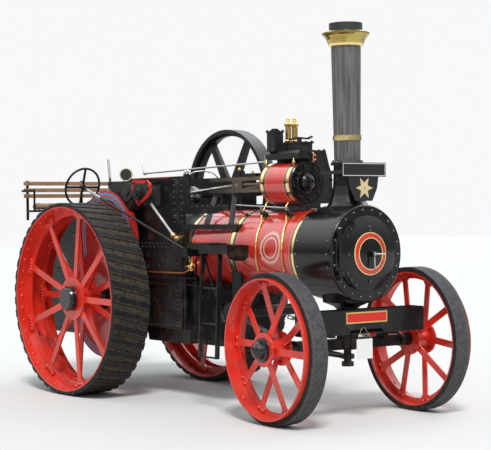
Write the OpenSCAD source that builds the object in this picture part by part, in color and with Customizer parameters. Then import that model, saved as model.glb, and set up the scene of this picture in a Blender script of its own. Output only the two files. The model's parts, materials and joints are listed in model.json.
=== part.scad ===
// Steam traction engine, a whole machine in named pieces.
// Millimetres, front towards -Y, the engine's left towards +X, ground at z = 0.
// The origin is on the ground under the middle of the machine. Most modules draw
// from the perch pin of the front axle, and on_perch() moves them to their place.

/* [Rear wheels] */
// Radius of a rear wheel over its rubber bars
rear_r = 990; // [900:5:1050]
// Width of a rear wheel
rear_w = 430; // [380:5:470]
// Centre line of the machine to the outer face of a rear wheel
rear_out = 1105; // [1080:5:1200]
// Depth of the rubber ring with its bars
rear_rubber = 40; // [30:1:60]
// Height of a bar above the rubber ring
bar_h = 14; // [8:1:20]
// Width of a bar along the tread
bar_w = 78; // [50:2:90]
// Number of bars round a rear wheel
bars = 44; // [36:2:48]
// Slant of the bars
bar_slant = 15; // [0:1:25]
// Spokes in each of the two rows
rear_spokes = 9; // [8:1:10]
// Turn of the outer row of spokes at rest
rear_spoke_turn = 11; // [0:1:20]
// Width of a rear spoke
rear_spoke_w = 64; // [50:1:80]
// Radius of a rear hub flange
rear_flange_r = 222; // [190:2:250]

/* [Front wheels] */
// Radius of a front wheel over its tyre
front_r = 665; // [600:5:700]
// Width of a front wheel
front_w = 165; // [140:5:180]
// Perch pin to the outer face of a front tyre
front_out = 874; // [860:2:900]
// A front rim stands out of its tyre by this much
front_lip = 48; // [20:1:60]
// Depth of the front tyre
front_rubber = 45; // [30:1:55]
// Spokes in each of the two rows of a front wheel
front_spokes = 5; // [4:1:7]
// Turn of the first front spoke at rest
front_spoke_turn = 21; // [0:1:60]
// Width of a front spoke
front_spoke_w = 62; // [50:1:75]
// Radius of a front hub flange
front_flange_r = 150; // [130:2:170]
// Front axle's turn at rest, towards the engine's right
steer_rest = 4.9; // [0:0.1:10]

/* [Frame] */
// Perch pin to rear axle
wheelbase = 3143; // [3000:5:3300]
// Perch pin to the rear end of the drawbar
rear_end = 4640; // [4600:5:4800]
// Radius of the rear axle
rear_axle_r = 60; // [50:1:65]
// Radius of the perch pin
perch_pin_r = 35; // [28:1:45]
// Radius of the front stub axles
stub_r = 38; // [30:1:45]
// Height and depth of the front axle beam
beam = 100; // [80:2:120]

/* [Boiler] */
// Height of the boiler's centre line
boiler_z = 1478; // [1450:2:1520]
// Radius of the clothed barrel
barrel_r = 405; // [380:2:415]
// Radius of the smokebox
smokebox_r = 425; // [415:2:440]
// Front face of the smokebox shell
smokebox_front = -250; // [-280:2:-230]
// Joint of the smokebox and the barrel
barrel_front = 240; // [220:2:260]
// Front face of the firebox
firebox_front = 1900; // [1880:5:1950]
// Rear face of the firebox
firebox_rear = 2750; // [2650:5:2800]
// Foundation ring, the underside of the firebox
ring_z = 700; // [660:5:740]
// Thickness of a hornplate
horn_t = 14; // [10:1:18]
// Top edge of the hornplates
horn_top = 2225; // [2180:5:2260]
// Radius of the smokebox door
door_r = 338; // [320:1:345]

/* [Chimney] */
// Radius of the chimney at its foot
chimney_r = 118; // [110:1:130]
// Radius of the chimney under its cap
chimney_top_r = 136; // [125:1:145]
// Top of the chimney base
chimney_base_z = 2290; // [2250:5:2320]
// Underside of the cap
cap_z = 3330; // [3250:5:3400]
// Greatest radius of the cap
cap_r = 215; // [200:1:230]

/* [Cylinder and motion] */
// Cylinder's centre line to the right of the middle
cyl_x = -100; // [-120:2:-80]
// Height of the cylinder's centre line
cyl_z = 2125; // [2110:1:2140]
// Radius over the cylinder's clothing
cyl_r = 195; // [185:1:200]
// Front of the cylinder's clothing
cyl_front = 440; // [420:2:460]
// Rear of the cylinder's clothing
cyl_rear = 870; // [850:2:900]
// Perch pin to crankshaft
crank_y = 2440; // [2420:2:2480]
// Height of the crankshaft
crank_z = 2060; // [2040:2:2080]
// Throw of the crank
crank_throw = 130; // [122:1:132]
// Radius of the crankshaft
crank_r = 45; // [40:1:50]
// Radius of the flywheel
fly_r = 675; // [620:5:690]
// Width of the flywheel's rim
fly_w = 164; // [130:2:170]
// Spokes of the flywheel
fly_spokes = 6; // [5:1:8]
// Turn of the first spoke at rest
fly_turn = 29; // [0:1:60]

/* [Tender and bench] */
// Half the width of the tender
tender_x = 440; // [425:1:450]
// Front of the tender's sides
tender_front = 3400; // [3380:5:3450]
// Rear face of the tender
tender_rear = 4500; // [4450:5:4520]
// Height of the footplate
foot_z = 1250; // [1200:5:1300]
// Top edge of the coal space
tender_top = 1890; // [1850:5:1950]
// Thickness of the tender's plates
sheet = 8; // [6:1:12]
// Half the length of the bench
bench_x = 760; // [700:5:800]

/* [Hidden] */
$fn = 48;
fit = 0.3;      // between pieces that are seated on one another
run = 0.6;      // round a shaft that turns
gap = 6;        // between moving pieces
rim_t = 14;
mm_over = 1;    // overlap of shapes inside one piece

// The foremost point is on the left front wheel, which is turned forwards
front_end = -(front_out * sin(steer_rest) + front_r * cos(steer_rest));
perch_y = -(rear_end + front_end) / 2;

horn_x = barrel_r + 3;              // inner face of a hornplate
horn_out = horn_x + horn_t;
horn_rear = tender_front - fit;
axle_y = wheelbase;
rear_in = rear_out - rear_w;
front_in = front_out - front_w;
wheel_out = front_out + front_lip;
boss_x = horn_out + 60;             // outer end of the crankshaft's bearings

module on_perch() translate([0, perch_y, 0]) children();
module at_rear_axle() translate([0, axle_y, rear_r]) children();
module steered() rotate([0, 0, -steer_rest]) children();
module at_front_axle() steered() translate([0, 0, front_r]) children();
module both() { children(); mirror([1, 0, 0]) children(); }

module x_rod(r, x0, x1) translate([x0, 0, 0]) rotate([0, 90, 0]) cylinder(r = r, h = x1 - x0);
module y_rod(r, y0, y1) translate([0, y0, 0]) rotate([-90, 0, 0]) cylinder(r = r, h = y1 - y0);
module z_rod(r, z0, z1) translate([0, 0, z0]) cylinder(r = r, h = z1 - z0);
module x_ring(ro, ri, x0, x1) difference() {
    x_rod(ro, x0, x1);
    x_rod(ri, x0 - 1, x1 + 1);
}
module rod(p, q, r) {
    v = q - p;
    len = norm(v);
    translate(p) rotate([0, acos(v.z / len), atan2(v.y, v.x)]) cylinder(r = r, h = len);
}
// An outline in Y and Z, from x0 to x1
module side_plate(points, x0, x1) translate([x0, 0, 0]) rotate([90, 0, 90])
    linear_extrude(x1 - x0) polygon(points);
// An outline in X and Z, from y0 to y1
module cross_plate(points, y0, y1) translate([0, y1, 0]) rotate([90, 0, 0])
    linear_extrude(y1 - y0) polygon(points);
module box(x0, x1, y0, y1, z0, z1) translate([x0, y0, z0]) cube([x1 - x0, y1 - y0, z1 - z0]);
module boiler_space(r) translate([0, 0, boiler_z]) y_rod(r, -600, 3000, $fn = 180);

// Boiler
module firebox() color("#1b1b1d") on_perch() difference() {
    union() {
        ashpan();
        box(-horn_x, horn_x, firebox_front, firebox_rear, ring_z, boiler_z);
        translate([0, 0, boiler_z]) y_rod(barrel_r, firebox_front, firebox_rear);
        // foundation ring
        box(-horn_x, horn_x, firebox_front - 18, firebox_rear, ring_z, ring_z + 60);
    }
    // fire hole in the back head
    translate([0, 0, ring_z + 520]) y_rod(150, firebox_rear - 60, firebox_rear + 1);
}

ash_front = firebox_front + 40;
ash_drop = 150;
module ashpan() difference() {
    side_plate([[ash_front, ring_z + 1], [ash_front + 30, ring_z - ash_drop],
        [firebox_rear - 60, ring_z - ash_drop], [firebox_rear - 20, ring_z + 1]], -330, 330);
    side_plate([[ash_front + sheet, ring_z], [ash_front + 30 + sheet, ring_z - ash_drop + sheet],
        [firebox_rear - 60 - sheet, ring_z - ash_drop + sheet], [firebox_rear - 20 - sheet, ring_z]],
        -330 + sheet, 330 - sheet);
}

axle_boss_r = 135;
horn_front = 1815;      // front edge above the arm
horn_outline = [[firebox_front, ring_z], [firebox_front, 1846], [1400, 1850], [1190, 1895],
    [1190, 1935], [horn_front, 1940], [horn_front, horn_top], [2960, horn_top], [3180, 2120],
    [horn_rear, 1900], [horn_rear, 800], [3260, ring_z]];
module hornplate() difference() {
    union() {
        side_plate(horn_outline, horn_x, horn_out);
        // axle bearing
        at_rear_axle() x_rod(axle_boss_r, horn_x + 1, horn_out + 110);
        // crankshaft bearing with its keep
        translate([0, crank_y, crank_z]) x_rod(110, horn_x + 1, boss_x);
        translate([0, crank_y, crank_z]) box(horn_x + 1, boss_x - 12, -125, 125, -125, 90);
    }
    at_rear_axle() x_rod(rear_axle_r + fit, horn_x - 2, horn_out + 120);
    translate([0, crank_y, crank_z]) x_rod(crank_r + run, horn_x - 2, boss_x + 1);
}
module hornplate_left() color("#1b1b1d") on_perch() hornplate();
module hornplate_right() color("#1b1b1d") on_perch() mirror([1, 0, 0]) {
    hornplate();
    outer_bearing();
    shaft_casting();
}

// Outer bearing of the crankshaft, held off the right hornplate round the pump's eccentric
bearing_x = 580;
ecc_r = 75;
ecc_off = 18;
module outer_bearing() translate([0, crank_y, crank_z]) difference() {
    union() {
        side_plate([[151, 141], [-117, 134], [-178, 90], [-176, 14], [-94, -55], [53, -121], [167, -10]],
            bearing_x - 14, bearing_x);
        x_rod(72, bearing_x - 38, bearing_x - 1);
        box(horn_out - 1, bearing_x - 1, -70, 130, ecc_r + ecc_off + 13, ecc_r + ecc_off + 30);
        box(horn_out - 1, bearing_x - 1, ecc_r + ecc_off + 13, 130, -60, ecc_r + ecc_off + 30);
    }
    x_rod(crank_r + run, bearing_x - 60, bearing_x + 1);
}

// Casting of the second shaft on the right hornplate, with a round case on top
second = [2712, 2085];
module shaft_casting() {
    side_plate([[3100, 2200], [2630, 2192], [2624, 1985], [2715, 1896], [2842, 2012], [3100, 2135]],
        horn_out - 1, 548);
    translate([0, second.x, second.y]) {
        x_rod(98, 500, 574);
        x_rod(46, 500, 592);
    }
    translate([540, 2762, 0]) {
        z_rod(16, 2180, 2215);
        translate([0, 0, 2262]) rotate([0, 0, 45]) rotate([90, 0, 0]) rotate_extrude() polygon([[0, -40],
            [40, -36], [62, -16], [68, -4], [68, 16], [60, 16], [60, 8], [0, 8]]);
    }
}

band_w = 46;
band_h = 5;
barrel_bands = [barrel_front, 1150, firebox_front - 52];      // front edge of each band
module boiler_barrel() color("#c8242a") on_perch() translate([0, 0, boiler_z]) {
    y_rod(barrel_r, barrel_front, firebox_front);
    for (y = barrel_bands) y_rod(barrel_r + band_h, y + 2, y + 2 + band_w);
}

shell_t = 12;
ring_r = smokebox_r + 9;
plate_t = 14;
module smokebox() color("#26262a") on_perch() translate([0, 0, boiler_z]) difference() {
    union() {
        y_rod(smokebox_r, smokebox_front, barrel_front);
        rotate([90, 0, 0]) rotate_extrude($fn = 96) polygon([[0, -smokebox_front - 26],
            [ring_r, -smokebox_front - 26], [ring_r, -smokebox_front - 2], [ring_r - 3, 6 - smokebox_front],
            [ring_r - 12, plate_t - smokebox_front], [0, plate_t - smokebox_front]]);
        door_hinge();
    }
    y_rod(smokebox_r - shell_t, smokebox_front, barrel_front - shell_t);
    y_rod(door_r - 18, smokebox_front - plate_t - 1, smokebox_front + 1);
    // outlet to the chimney
    translate([0, chimney_y, 300]) cylinder(r = chimney_r - 20, h = 200);
}

door_face = smokebox_front - plate_t - 2;
door_dish = 48;
hinge_x = -(door_r + 8);
hinge_y = door_face - 34;
hinge_pin_r = 12;
eye_r = 22;
eye_zs = [-165, 165];
strap = [[hinge_x, 187], [hinge_x, 143], [-262, 143], [-240, 165], [-150, 262], [-158, 290],
    [-180, 290], [-262, 200], [-280, 187]];
dish_steps = 20;
dish_in = door_r - 20;
dish_t = 8;
handle_y = door_face - 12 - door_dish - 34;
sphere_r = (door_r * door_r + door_dish * door_dish) / (2 * door_dish);
dish_at = function(r) door_face - 12 - door_dish + sphere_r - sqrt(sphere_r * sphere_r - r * r);
module smokebox_door() color("#232327") on_perch() translate([0, 0, boiler_z]) {
    difference() {
        union() {
            rotate([90, 0, 0]) rotate_extrude($fn = 96) polygon(concat(
                [for (i = [0:dish_steps]) [door_r * i / dish_steps, -dish_at(door_r * i / dish_steps)]],
                [[door_r, -door_face], [dish_in, -door_face]],
                [for (i = [dish_steps:-1:0]) [dish_in * i / dish_steps, -dish_at(dish_in * i / dish_steps) - dish_t]]));
            // straps and their eyes
            for (z = eye_zs) {
                cross_plate([for (p = strap) [p.x, p.y * sign(z)]], hinge_y - 2, hinge_y + 21);
                translate([hinge_x, hinge_y, z - 24]) cylinder(r = eye_r, h = 48);
            }
            // boss of the fastening screw
            y_rod(30, door_face - 12 - door_dish - 16, door_face - 12 - door_dish + 4);
            y_rod(12, handle_y - 11, handle_y + 30);
            y_rod(19, handle_y - 12, handle_y + 3);
        }
        for (z = eye_zs) translate([hinge_x, hinge_y, z - 30]) cylinder(r = hinge_pin_r + run, h = 60);
    }
    // fastening handles
    for (a = [94, 178]) translate([0, handle_y, 0]) rotate([0, a, 0]) rotate([90, 0, 0])
        linear_extrude(9) polygon([[-9, 10], [-6, 130], [6, 130], [9, 10]]);
}

ring_ro = 190;
ring_ri = 136;
module door_ring() color("#c8242a") on_perch() translate([0, 0, boiler_z]) rotate([90, 0, 0])
    rotate_extrude($fn = 96) polygon([[ring_ri, 0.7 - dish_at(ring_ri)], [ring_ro, 0.7 - dish_at(ring_ro)],
        [ring_ro, 7 - dish_at(ring_ro)], [ring_ri, 7 - dish_at(ring_ri)]]);

module door_hinge() translate([hinge_x, hinge_y, 0]) {
    z_rod(hinge_pin_r, -230, 230);
    for (z = [-220, 196]) box(-14, 14, -16, smokebox_front - hinge_y - 2, z, z + 24);
}

chimney_y = -30;
module chimney_base() color("#222226") on_perch() difference() {
    translate([0, chimney_y, 0]) rotate_extrude($fn = 96) polygon([[chimney_r - 12, 1750], [190, 1750],
        [190, 1902], [166, 1938], [146, 1996], [132, 2080], [126, 2200], [124, chimney_base_z - 22],
        [150, chimney_base_z - 22], [150, chimney_base_z], [chimney_r - 12, chimney_base_z]]);
    boiler_space(smokebox_r + fit);
}

module chimney() color("#2b2b2f") on_perch() translate([0, chimney_y, 0]) rotate_extrude($fn = 96)
    polygon([[chimney_r - 12, chimney_base_z], [chimney_r + 22, chimney_base_z],
        [chimney_r + 22, chimney_base_z + 14], [chimney_r, chimney_base_z + 14],
        [chimney_top_r, cap_z + 130], [150, cap_z + 140], [150, cap_z + chimney_lip],
        [chimney_top_r - 12, cap_z + chimney_lip]]);

chimney_lip = 210;      // top of the black ring above the underside of the cap
wall_at = function(z) chimney_r + (chimney_top_r - chimney_r) * (z - chimney_base_z - 14)
    / (cap_z + 130 - chimney_base_z - 14) + fit;
band_z = chimney_base_z + 198;
module chimney_cap() color("#c99a4a") on_perch() translate([0, chimney_y, 0]) {
    rotate_extrude($fn = 96) polygon([[wall_at(cap_z), cap_z], [152, cap_z + 4], [160, cap_z + 26],
        [172, cap_z + 60], [196, cap_z + 94], [cap_r, cap_z + 110], [cap_r, cap_z + 122],
        [190, cap_z + 134], [160, cap_z + 139], [152, cap_z + 139], [wall_at(cap_z + 130), cap_z + 129]]);
    rotate_extrude($fn = 96) polygon([[wall_at(band_z), band_z], [wall_at(band_z) + 7, band_z],
        [wall_at(band_z) + 7, band_z + 46], [wall_at(band_z + 46), band_z + 46]]);
}

// Cylinder and motion
chest_x = 212;
block_top = cyl_z + 299;
module cylinder_block() color("#1f1f22") on_perch() difference() {
    union() {
        translate([0, 0, cyl_z]) cross_plate([[-205, 220], [-205, 271], [-180, 299], [130, 299],
            [170, 165], [chest_x - 7, 75], [chest_x, -135], [chest_x - 30, -195], [60, -195], [60, -325],
            [-140, -325], [-130, -245], [-110, -190], [-100, 25], [-60, 220]], cyl_front - 30, cyl_rear + 20);
        translate([0, 0, block_top]) {
            // casting of the regulator with its lid
            box(-215, -110, 735, 850, -1, 178);
            box(-223, -102, 727, 858, 177, 190);
            box(-185, -140, 770, 815, 189, 214);
            // seat of the safety valves, front casting and its lever
            box(-52, 112, 730, 830, -1, 88);
            box(-130, 20, 470, 640, -1, 66);
            box(-142, 32, 458, 652, 65, 80);
            side_plate([[705, 100], [705, 116], [560, 128], [440, 114], [384, 130], [370, 118],
                [440, 98], [560, 110]], -69, -51);
            translate([-60, 560, 0]) z_rod(22, 79, 119);
        }
    }
    translate([cyl_x, 0, cyl_z]) y_rod(cyl_r + fit, cyl_front - 40, cyl_rear + 30);
    boiler_space(barrel_r + band_h + fit);
}

module cylinder_jacket() color("#c8242a") on_perch() translate([cyl_x, 0, cyl_z])
    difference() {
        y_rod(cyl_r, cyl_front, cyl_rear);
        y_rod(130, cyl_front - 1, cyl_rear + 1);
    }

module cylinder_cover() color("#1b1b1d") on_perch() translate([cyl_x, 0, cyl_z]) {
    translate([0, cyl_front, 0]) rotate([90, 0, 0]) rotate_extrude($fn = 72) polygon([[0, -30],
        [129, -30], [129, 0], [cyl_r, 0], [cyl_r, 22], [cyl_r - 6, 28], [126, 28], [120, 40], [102, 40],
        [98, 32], [84, 34], [80, 50], [66, 66], [42, 78], [0, 84]]);
    difference() {
        union() {
            y_rod(129, cyl_rear - 30, cyl_rear);
            y_rod(cyl_r - 12, cyl_rear, cyl_rear + 20);
            y_rod(slide_gap - 3, cyl_rear + 10, cyl_rear + 70);
        }
        y_rod(piston_r + run, cyl_rear - 40, cyl_rear + 90);
    }
}
piston_r = 22;

module safety_valves() color("#d4a24a") on_perch() for (x = [-10, 70])
    translate([x, 780, block_top + 88 + fit]) rotate_extrude() polygon([[0, 0], [36, 0], [36, 14],
        [28, 24], [28, 150], [38, 158], [38, 172], [22, 184], [16, 214], [20, 222], [12, 238], [0, 244]]);

bar_y0 = cyl_rear + 20;
bar_y1 = 1864;
slide_gap = 40;
slide_t = 35;
// The bars' rear ends are forked, for the connecting rod to pass
module slide_bars() color("#6d655c") on_perch() translate([cyl_x, 0, cyl_z]) both_z() difference() {
    box(-36, 36, bar_y0, bar_y1, slide_gap, slide_gap + slide_t);
    box(-22, 22, bar_y1 - 200, bar_y1 + 1, 0, 100);
}
module both_z() { children(); mirror([0, 0, 1]) children(); }

cross_y = 1438;
module crosshead() color("#9a9a9a") on_perch() translate([cyl_x, 0, cyl_z]) {
    y_rod(piston_r, cyl_rear - 25, cross_y - 60);
    difference() {
        box(-30, 30, cross_y - 90, cross_y + 70, -slide_gap + fit, slide_gap - fit);
        box(-19, 19, cross_y - 45, cross_y + 90, -70, 70);
        translate([0, cross_y, 0]) x_rod(18, -40, 40);
    }
}

// The crank stands at its front dead centre, its pin forward of the shaft
pin_y = crank_y - crank_throw;
pin_r = 28;
big_r = 46;         // half the height of the big end
rod_t = 32;
sweep_r = crank_throw + pin_r + gap;    // the crank pin's way round
// The big end stops short of the pin's way, where the linkage is opened
module connecting_rod() color("#a5a5a8") on_perch() translate([cyl_x, 0, 0]) {
    difference() {
        union() {
            rod([0, cross_y, cyl_z], [0, pin_y - pin_r - gap - 20, crank_z], 17);
            translate([0, pin_y, crank_z]) box(-rod_t / 2, rod_t / 2, -pin_r - gap - 34, 0, -big_r, big_r);
            translate([0, cross_y, cyl_z]) x_rod(30, -rod_t / 2, rod_t / 2);
        }
        translate([0, crank_y, crank_z]) x_rod(sweep_r, -60, 60, $fn = 120);
    }
    translate([0, cross_y, cyl_z]) x_rod(18 - fit, -29, 29);
}

bar_seat = cyl_z - slide_gap - slide_t - fit;
// A flat bar, w wide along the level and t thick
module flat_bar(p, q, w, t) {
    v = q - p;
    len = norm(v);
    translate(p) rotate([0, acos(v.z / len), atan2(v.y, v.x)]) translate([-t / 2, -w / 2, 0])
        cube([t, w, len]);
}
rail_z = boiler_z + 220;
rail_y0 = 1108;
rail_h = 48;
module motion_bracket() color("#1f1f22") on_perch() difference() {
    union() {
        for (y = [1465, 1775]) {
            box(cyl_x - 36, cyl_x + 36, y - 28, y + 28, bar_seat - 42, bar_seat);
            box(-92, -52, y - 12, y + 12, boiler_z + 300, bar_seat - 41);
        }
        flat_bar([-126, 1465, bar_seat - 24], [-366, 1225, rail_z + 30], 50, 18);
        flat_bar([-126, 1775, bar_seat - 24], [-384, 1600, rail_z + 30], 50, 18);
        // rail along the barrel, from the hornplate to its foot
        translate([0, 0, rail_z]) linear_extrude(rail_h) polygon([[-422, firebox_front - fit],
            [-394, firebox_front - fit], [-350, rail_y0], [-378, rail_y0]]);
        box(-378, -300, rail_y0 + 2, rail_y0 + 32, rail_z, rail_z + rail_h);
    }
    boiler_space(barrel_r + fit);
}

module control_rods() color("#3a3a3d") on_perch() {
    // regulator rod, its lever at the footplate
    box(-204, -186, cyl_rear + 20 + fit, cyl_rear + 34, 2312, block_top - 30);
    rod([-195, cyl_rear + 30, 2329], [-200, 2921, 2281], 9);
    translate([-200, 2921, 2281]) x_rod(16, -14, 14);
    rod([-200, 2921, 2281], [-200, 2962, 2375], 9);
    // valve rods, from the chest to short of the eccentrics
    for (x = [40, 110]) rod([x, cyl_rear + 20 + 0.8, 2110], [x, crank_y - 150, crank_z], 13);
    // reversing lever and its quadrant
    rod([-386, 3180, foot_z + 60], [-386, 3345, 2440], 13);
    translate([0, 3180, foot_z + 60]) x_rod(14, -horn_x + fit, -380);
    side_plate([[3150, foot_z + 30], [3250, foot_z + 30], [3310, 1900], [3245, 1900]],
        -horn_x + fit, -horn_x + 8);
}

module crankshaft() color("#8d8d90") on_perch() translate([0, crank_y, crank_z]) {
    web_t = 46;
    web_gap = rod_t / 2 + gap;
    // shaft, broken at the throw
    x_rod(crank_r, -bearing_x - 20, cyl_x - web_gap - 1);
    x_rod(crank_r, cyl_x + web_gap + 1, fly_x1);
    // hub outside the outer bearing, and the pump's eccentric inside it
    x_rod(62, -bearing_x - 66, -bearing_x - gap);
    x_rod(34, -bearing_x - 78, -bearing_x - 65);
    translate([0, 0, ecc_off]) x_rod(ecc_r, -bearing_x + 50, -boss_x - gap - 2);
    // webs and pin
    for (x = [cyl_x - web_gap - web_t, cyl_x + web_gap]) side_plate([[-crank_throw - 32, -40],
        [-crank_throw - 32, 40], [0, 75], [90, 60], [90, -60], [0, -75]], x, x + web_t);
    translate([0, -crank_throw, 0]) x_rod(pin_r, cyl_x - web_gap - 1, cyl_x + web_gap + 1);
    // eccentrics
    for (e = [[40, 200], [110, 320]]) rotate([e[1], 0, 0]) translate([0, 32, 0])
        x_rod(85, e[0] - 22, e[0] + 22);
}

fly_x0 = boss_x + 16;
fly_x1 = min(fly_x0 + fly_w, rear_in - 12);
module flywheel() color("#2a2a2d") on_perch() translate([0, crank_y, crank_z]) difference() {
    fly_m = (fly_x0 + fly_x1) / 2;
    union() {
        x_ring(fly_r, fly_r - 40, fly_x0, fly_x1);
        x_ring(fly_r - 39, fly_r - 66, fly_m - 22, fly_m + 22);
        x_rod(115, fly_x0, fly_x1);
        for (i = [0:fly_spokes - 1]) rotate([i * 360 / fly_spokes + fly_turn, 0, 0])
            side_plate([[-58, 80], [-36, fly_r - 52], [36, fly_r - 52], [58, 80]], fly_m - 22, fly_m + 22);
    }
    x_rod(crank_r + fit, fly_x0 - 1, fly_x1 + 1);
}

// Gear guard on the right side, over the final wheel and the third shaft
third = [3075, 1610];
guard_r = 635;
lobe_r = 490;
guard_out = 602;
module guard_outline(inset) {
    translate([axle_y, rear_r]) circle(r = guard_r - inset, $fn = 96);
    translate(third) circle(r = lobe_r - inset, $fn = 96);
}
module guard_solid(inset, x0, x1) translate([x0, 0, 0]) rotate([90, 0, 90])
    linear_extrude(x1 - x0) guard_outline(inset);
// Lip, box and foot of the guard, each with its inset, outer and inner side
guard_steps = [[0, guard_out, guard_out - 16], [40, guard_out - 15, 490], [95, 491, tender_x + fit]];
module gear_guard() color("#c8242a") on_perch() difference() {
    for (g = guard_steps) guard_solid(g[0], -g[1], -g[2]);
    guard_solid(40 + sheet, -guard_out + sheet, -490 - sheet);
    guard_solid(95 + sheet, -520, -tender_x + 2);
    at_rear_axle() x_rod(axle_boss_r + fit, -guard_out - 2, -horn_x);
}

pump_x = -boss_x - 22;
module feed_pump() color("#77777a") on_perch() {
    rod([pump_x, crank_y - 74, crank_z - 106], [pump_x, 1990, 1646], 17);
    rod([pump_x, 1992, 1648], [pump_x, 1900, 1572], 30);
    rod([pump_x, 1930, 1598], [pump_x, 1890, 1564], 44);
    box(pump_x - 36, -horn_out - fit, 1925, 1985, 1560, 1640);
}

// Rear axle and wheels
module rear_axle() color("#3a3a3d") on_perch() at_rear_axle()
    x_rod(rear_axle_r, -rear_out + 105, rear_out - 105);

rim_r = rear_r - rear_rubber;
web_r = rim_r - 96;
web_t = 16;
web_1 = 130;        // outer face of the wheel to the outer ring of the rim
web_2 = 280;        // and to the inner ring
hub_r = 112;
hub_a = 110;
hub_b = 392;
flange_1 = 124;
flange_2 = 284;
spoke_t = 18;
foot_r = (web_r + rim_r) / 2;
// A spoke lies in Y and Z along +Z, and its foot is riveted to the ring
module rear_spoke(x, lean) translate([x, 0, 0]) rotate([0, lean, 0]) side_plate([
    [-rear_spoke_w / 2, hub_r - 20], [-rear_spoke_w / 2, web_r - 18], [-88, web_r + 10],
    [-88, rim_r - rim_t - 16], [88, rim_r - rim_t - 16], [88, web_r + 10],
    [rear_spoke_w / 2, web_r - 18], [rear_spoke_w / 2, hub_r - 20]], 0, spoke_t);
module rear_wheel() at_rear_axle() difference() {
    union() {
        x_ring(rim_r, rim_r - rim_t, -rear_out, -rear_in);
        for (d = [web_1, web_2]) x_ring(rim_r - rim_t + mm_over, web_r, -rear_out + d, -rear_out + d + web_t);
        x_rod(hub_r, -rear_out + hub_a, -rear_out + hub_b);
        for (d = [flange_1, flange_2]) x_rod(rear_flange_r, -rear_out + d, -rear_out + d + spoke_t);
        for (i = [0:rear_spokes - 1]) {
            rotate([i * 360 / rear_spokes + rear_spoke_turn, 0, 0])
                rear_spoke(-rear_out + flange_1 + spoke_t + 4, -atan((flange_1 + 2 * spoke_t + 2 - web_1) / foot_r));
            rotate([(i + 0.5) * 360 / rear_spokes + rear_spoke_turn, 0, 0])
                rear_spoke(-rear_out + flange_2 - spoke_t - 4, atan((web_2 + web_t + spoke_t + 2 - flange_2) / foot_r));
        }
    }
    x_rod(rear_axle_r + run, -rear_out + 90, -rear_in + 10);
}
module rear_wheel_right() color("#d8281f") on_perch() rear_wheel();
module rear_wheel_left() color("#d8281f") on_perch() mirror([1, 0, 0]) rear_wheel();

module rear_tyre() at_rear_axle() {
    x_ring(rear_r - bar_h, rim_r + fit / 10, -rear_out, -rear_in);
    intersection() {
        x_ring(rear_r, rear_r - bar_h - 8, -rear_out, -rear_in);
        for (i = [0:bars - 1]) rotate([i * 360 / bars, 0, 0])
            translate([-rear_out + rear_w / 2, 0, -rear_r]) rotate([0, 0, bar_slant])
                translate([-rear_w, -bar_w / 2, -30]) cube([rear_w * 2, bar_w, 60]);
    }
}
module rear_tyre_right() color("#2c2a28") on_perch() rear_tyre();
module rear_tyre_left() color("#2c2a28") on_perch() mirror([1, 0, 0]) rear_tyre();

module rear_cap() at_rear_axle() translate([-rear_out, 0, 0]) difference() {
    rotate([0, 90, 0]) rotate_extrude($fn = 72) polygon([[0, 36], [105, 36], [118, 44], [128, 62],
        [130, hub_a - fit], [0, hub_a - fit]]);
    x_rod(rear_axle_r + 4, 96, 120);
}
module rear_cap_right() color("#1b1b1d") on_perch() rear_cap();
module rear_cap_left() color("#1b1b1d") on_perch() mirror([1, 0, 0]) rear_cap();

// Tender
tank_bottom = 550;
bunker_front = 3980;
module tender() color("#1b1b1d") on_perch() {
    // water tank
    box(-tender_x, tender_x, tender_front, tender_rear, tank_bottom, foot_z);
    // sides of the footplate and the coal space
    both() side_plate([[tender_front, foot_z - 1], [tender_front, 1760], [3600, 1760],
        [bunker_front - 60, tender_top], [tender_rear, tender_top], [tender_rear, foot_z - 1]],
        tender_x - sheet, tender_x);
    box(-tender_x + 1, tender_x - 1, tender_rear - sheet, tender_rear, foot_z - 1, tender_top);
    box(-tender_x + 1, tender_x - 1, bunker_front, bunker_front + sheet, foot_z - 1, tender_top - 200);
    // angle between the tender and the hornplates
    both() box(horn_out - 1, tender_x - 1, tender_front, tender_front + sheet, foot_z - 1, 1760);
}

module footplate() color("#2b2b2b") on_perch() {
    box(-horn_x + fit, horn_x - fit, firebox_rear + fit, tender_front - fit, foot_z - 30, foot_z);
}

// Bench on the tender's rear end
bench_y = tender_rear + 44;
slat_h = 44;
slat_zs = [2050, 2115, 2190];
bar = 24;               // bars of the end frames
arm_out = bench_x + fit + 16;
arm_y = bench_y - 285;
arm_z = 2118;
module bench_frame() color("#1b1b1d") on_perch() {
    both() {
        // post behind the slats, and the rail under the cushion
        box(bench_x - 66, bench_x - 42, bench_y - 20, bench_y, tender_top - 90, 2245);
        box(bench_x - 66, bench_x - 42, arm_y, bench_y - 19, tender_top + fit, tender_top + bar);
        // arm outside the slats' ends, with its front post
        box(bench_x + fit, arm_out, arm_y, bench_y, arm_z, arm_z + 22);
        box(bench_x - 50, arm_out, bench_y - 20, bench_y, arm_z, arm_z + 22);
        box(bench_x + fit, arm_out, arm_y, arm_y + 20, tender_top + fit, arm_z + 1);
        box(bench_x - 66, arm_out, arm_y, arm_y + 20, tender_top + fit, tender_top + bar);
        // legs across to the tender's side
        box(tender_x - 60, bench_x - 60, arm_y, arm_y + 30, tender_top + fit, tender_top + bar);
        box(tender_x - 60, bench_x - 60, tender_rear - 30, bench_y - 10, tender_top + fit, tender_top + bar);
    }
    // middle post and the bar between the posts
    box(-12, 12, bench_y - 20, bench_y, tender_top - 90, 2245);
    box(-12, 12, tender_rear + fit, bench_y - 19, tender_top - 90, tender_top - 40);
    box(-bench_x + 60, bench_x - 60, bench_y - 20, bench_y - 2, tender_top + 1, tender_top + bar);
}
module bench_slats() color("#8a6a4a") on_perch() for (z = slat_zs)
    box(-bench_x, bench_x, bench_y - 20 - 24, bench_y - 20 - fit, z, z + slat_h);
roll_r = 38;
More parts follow.
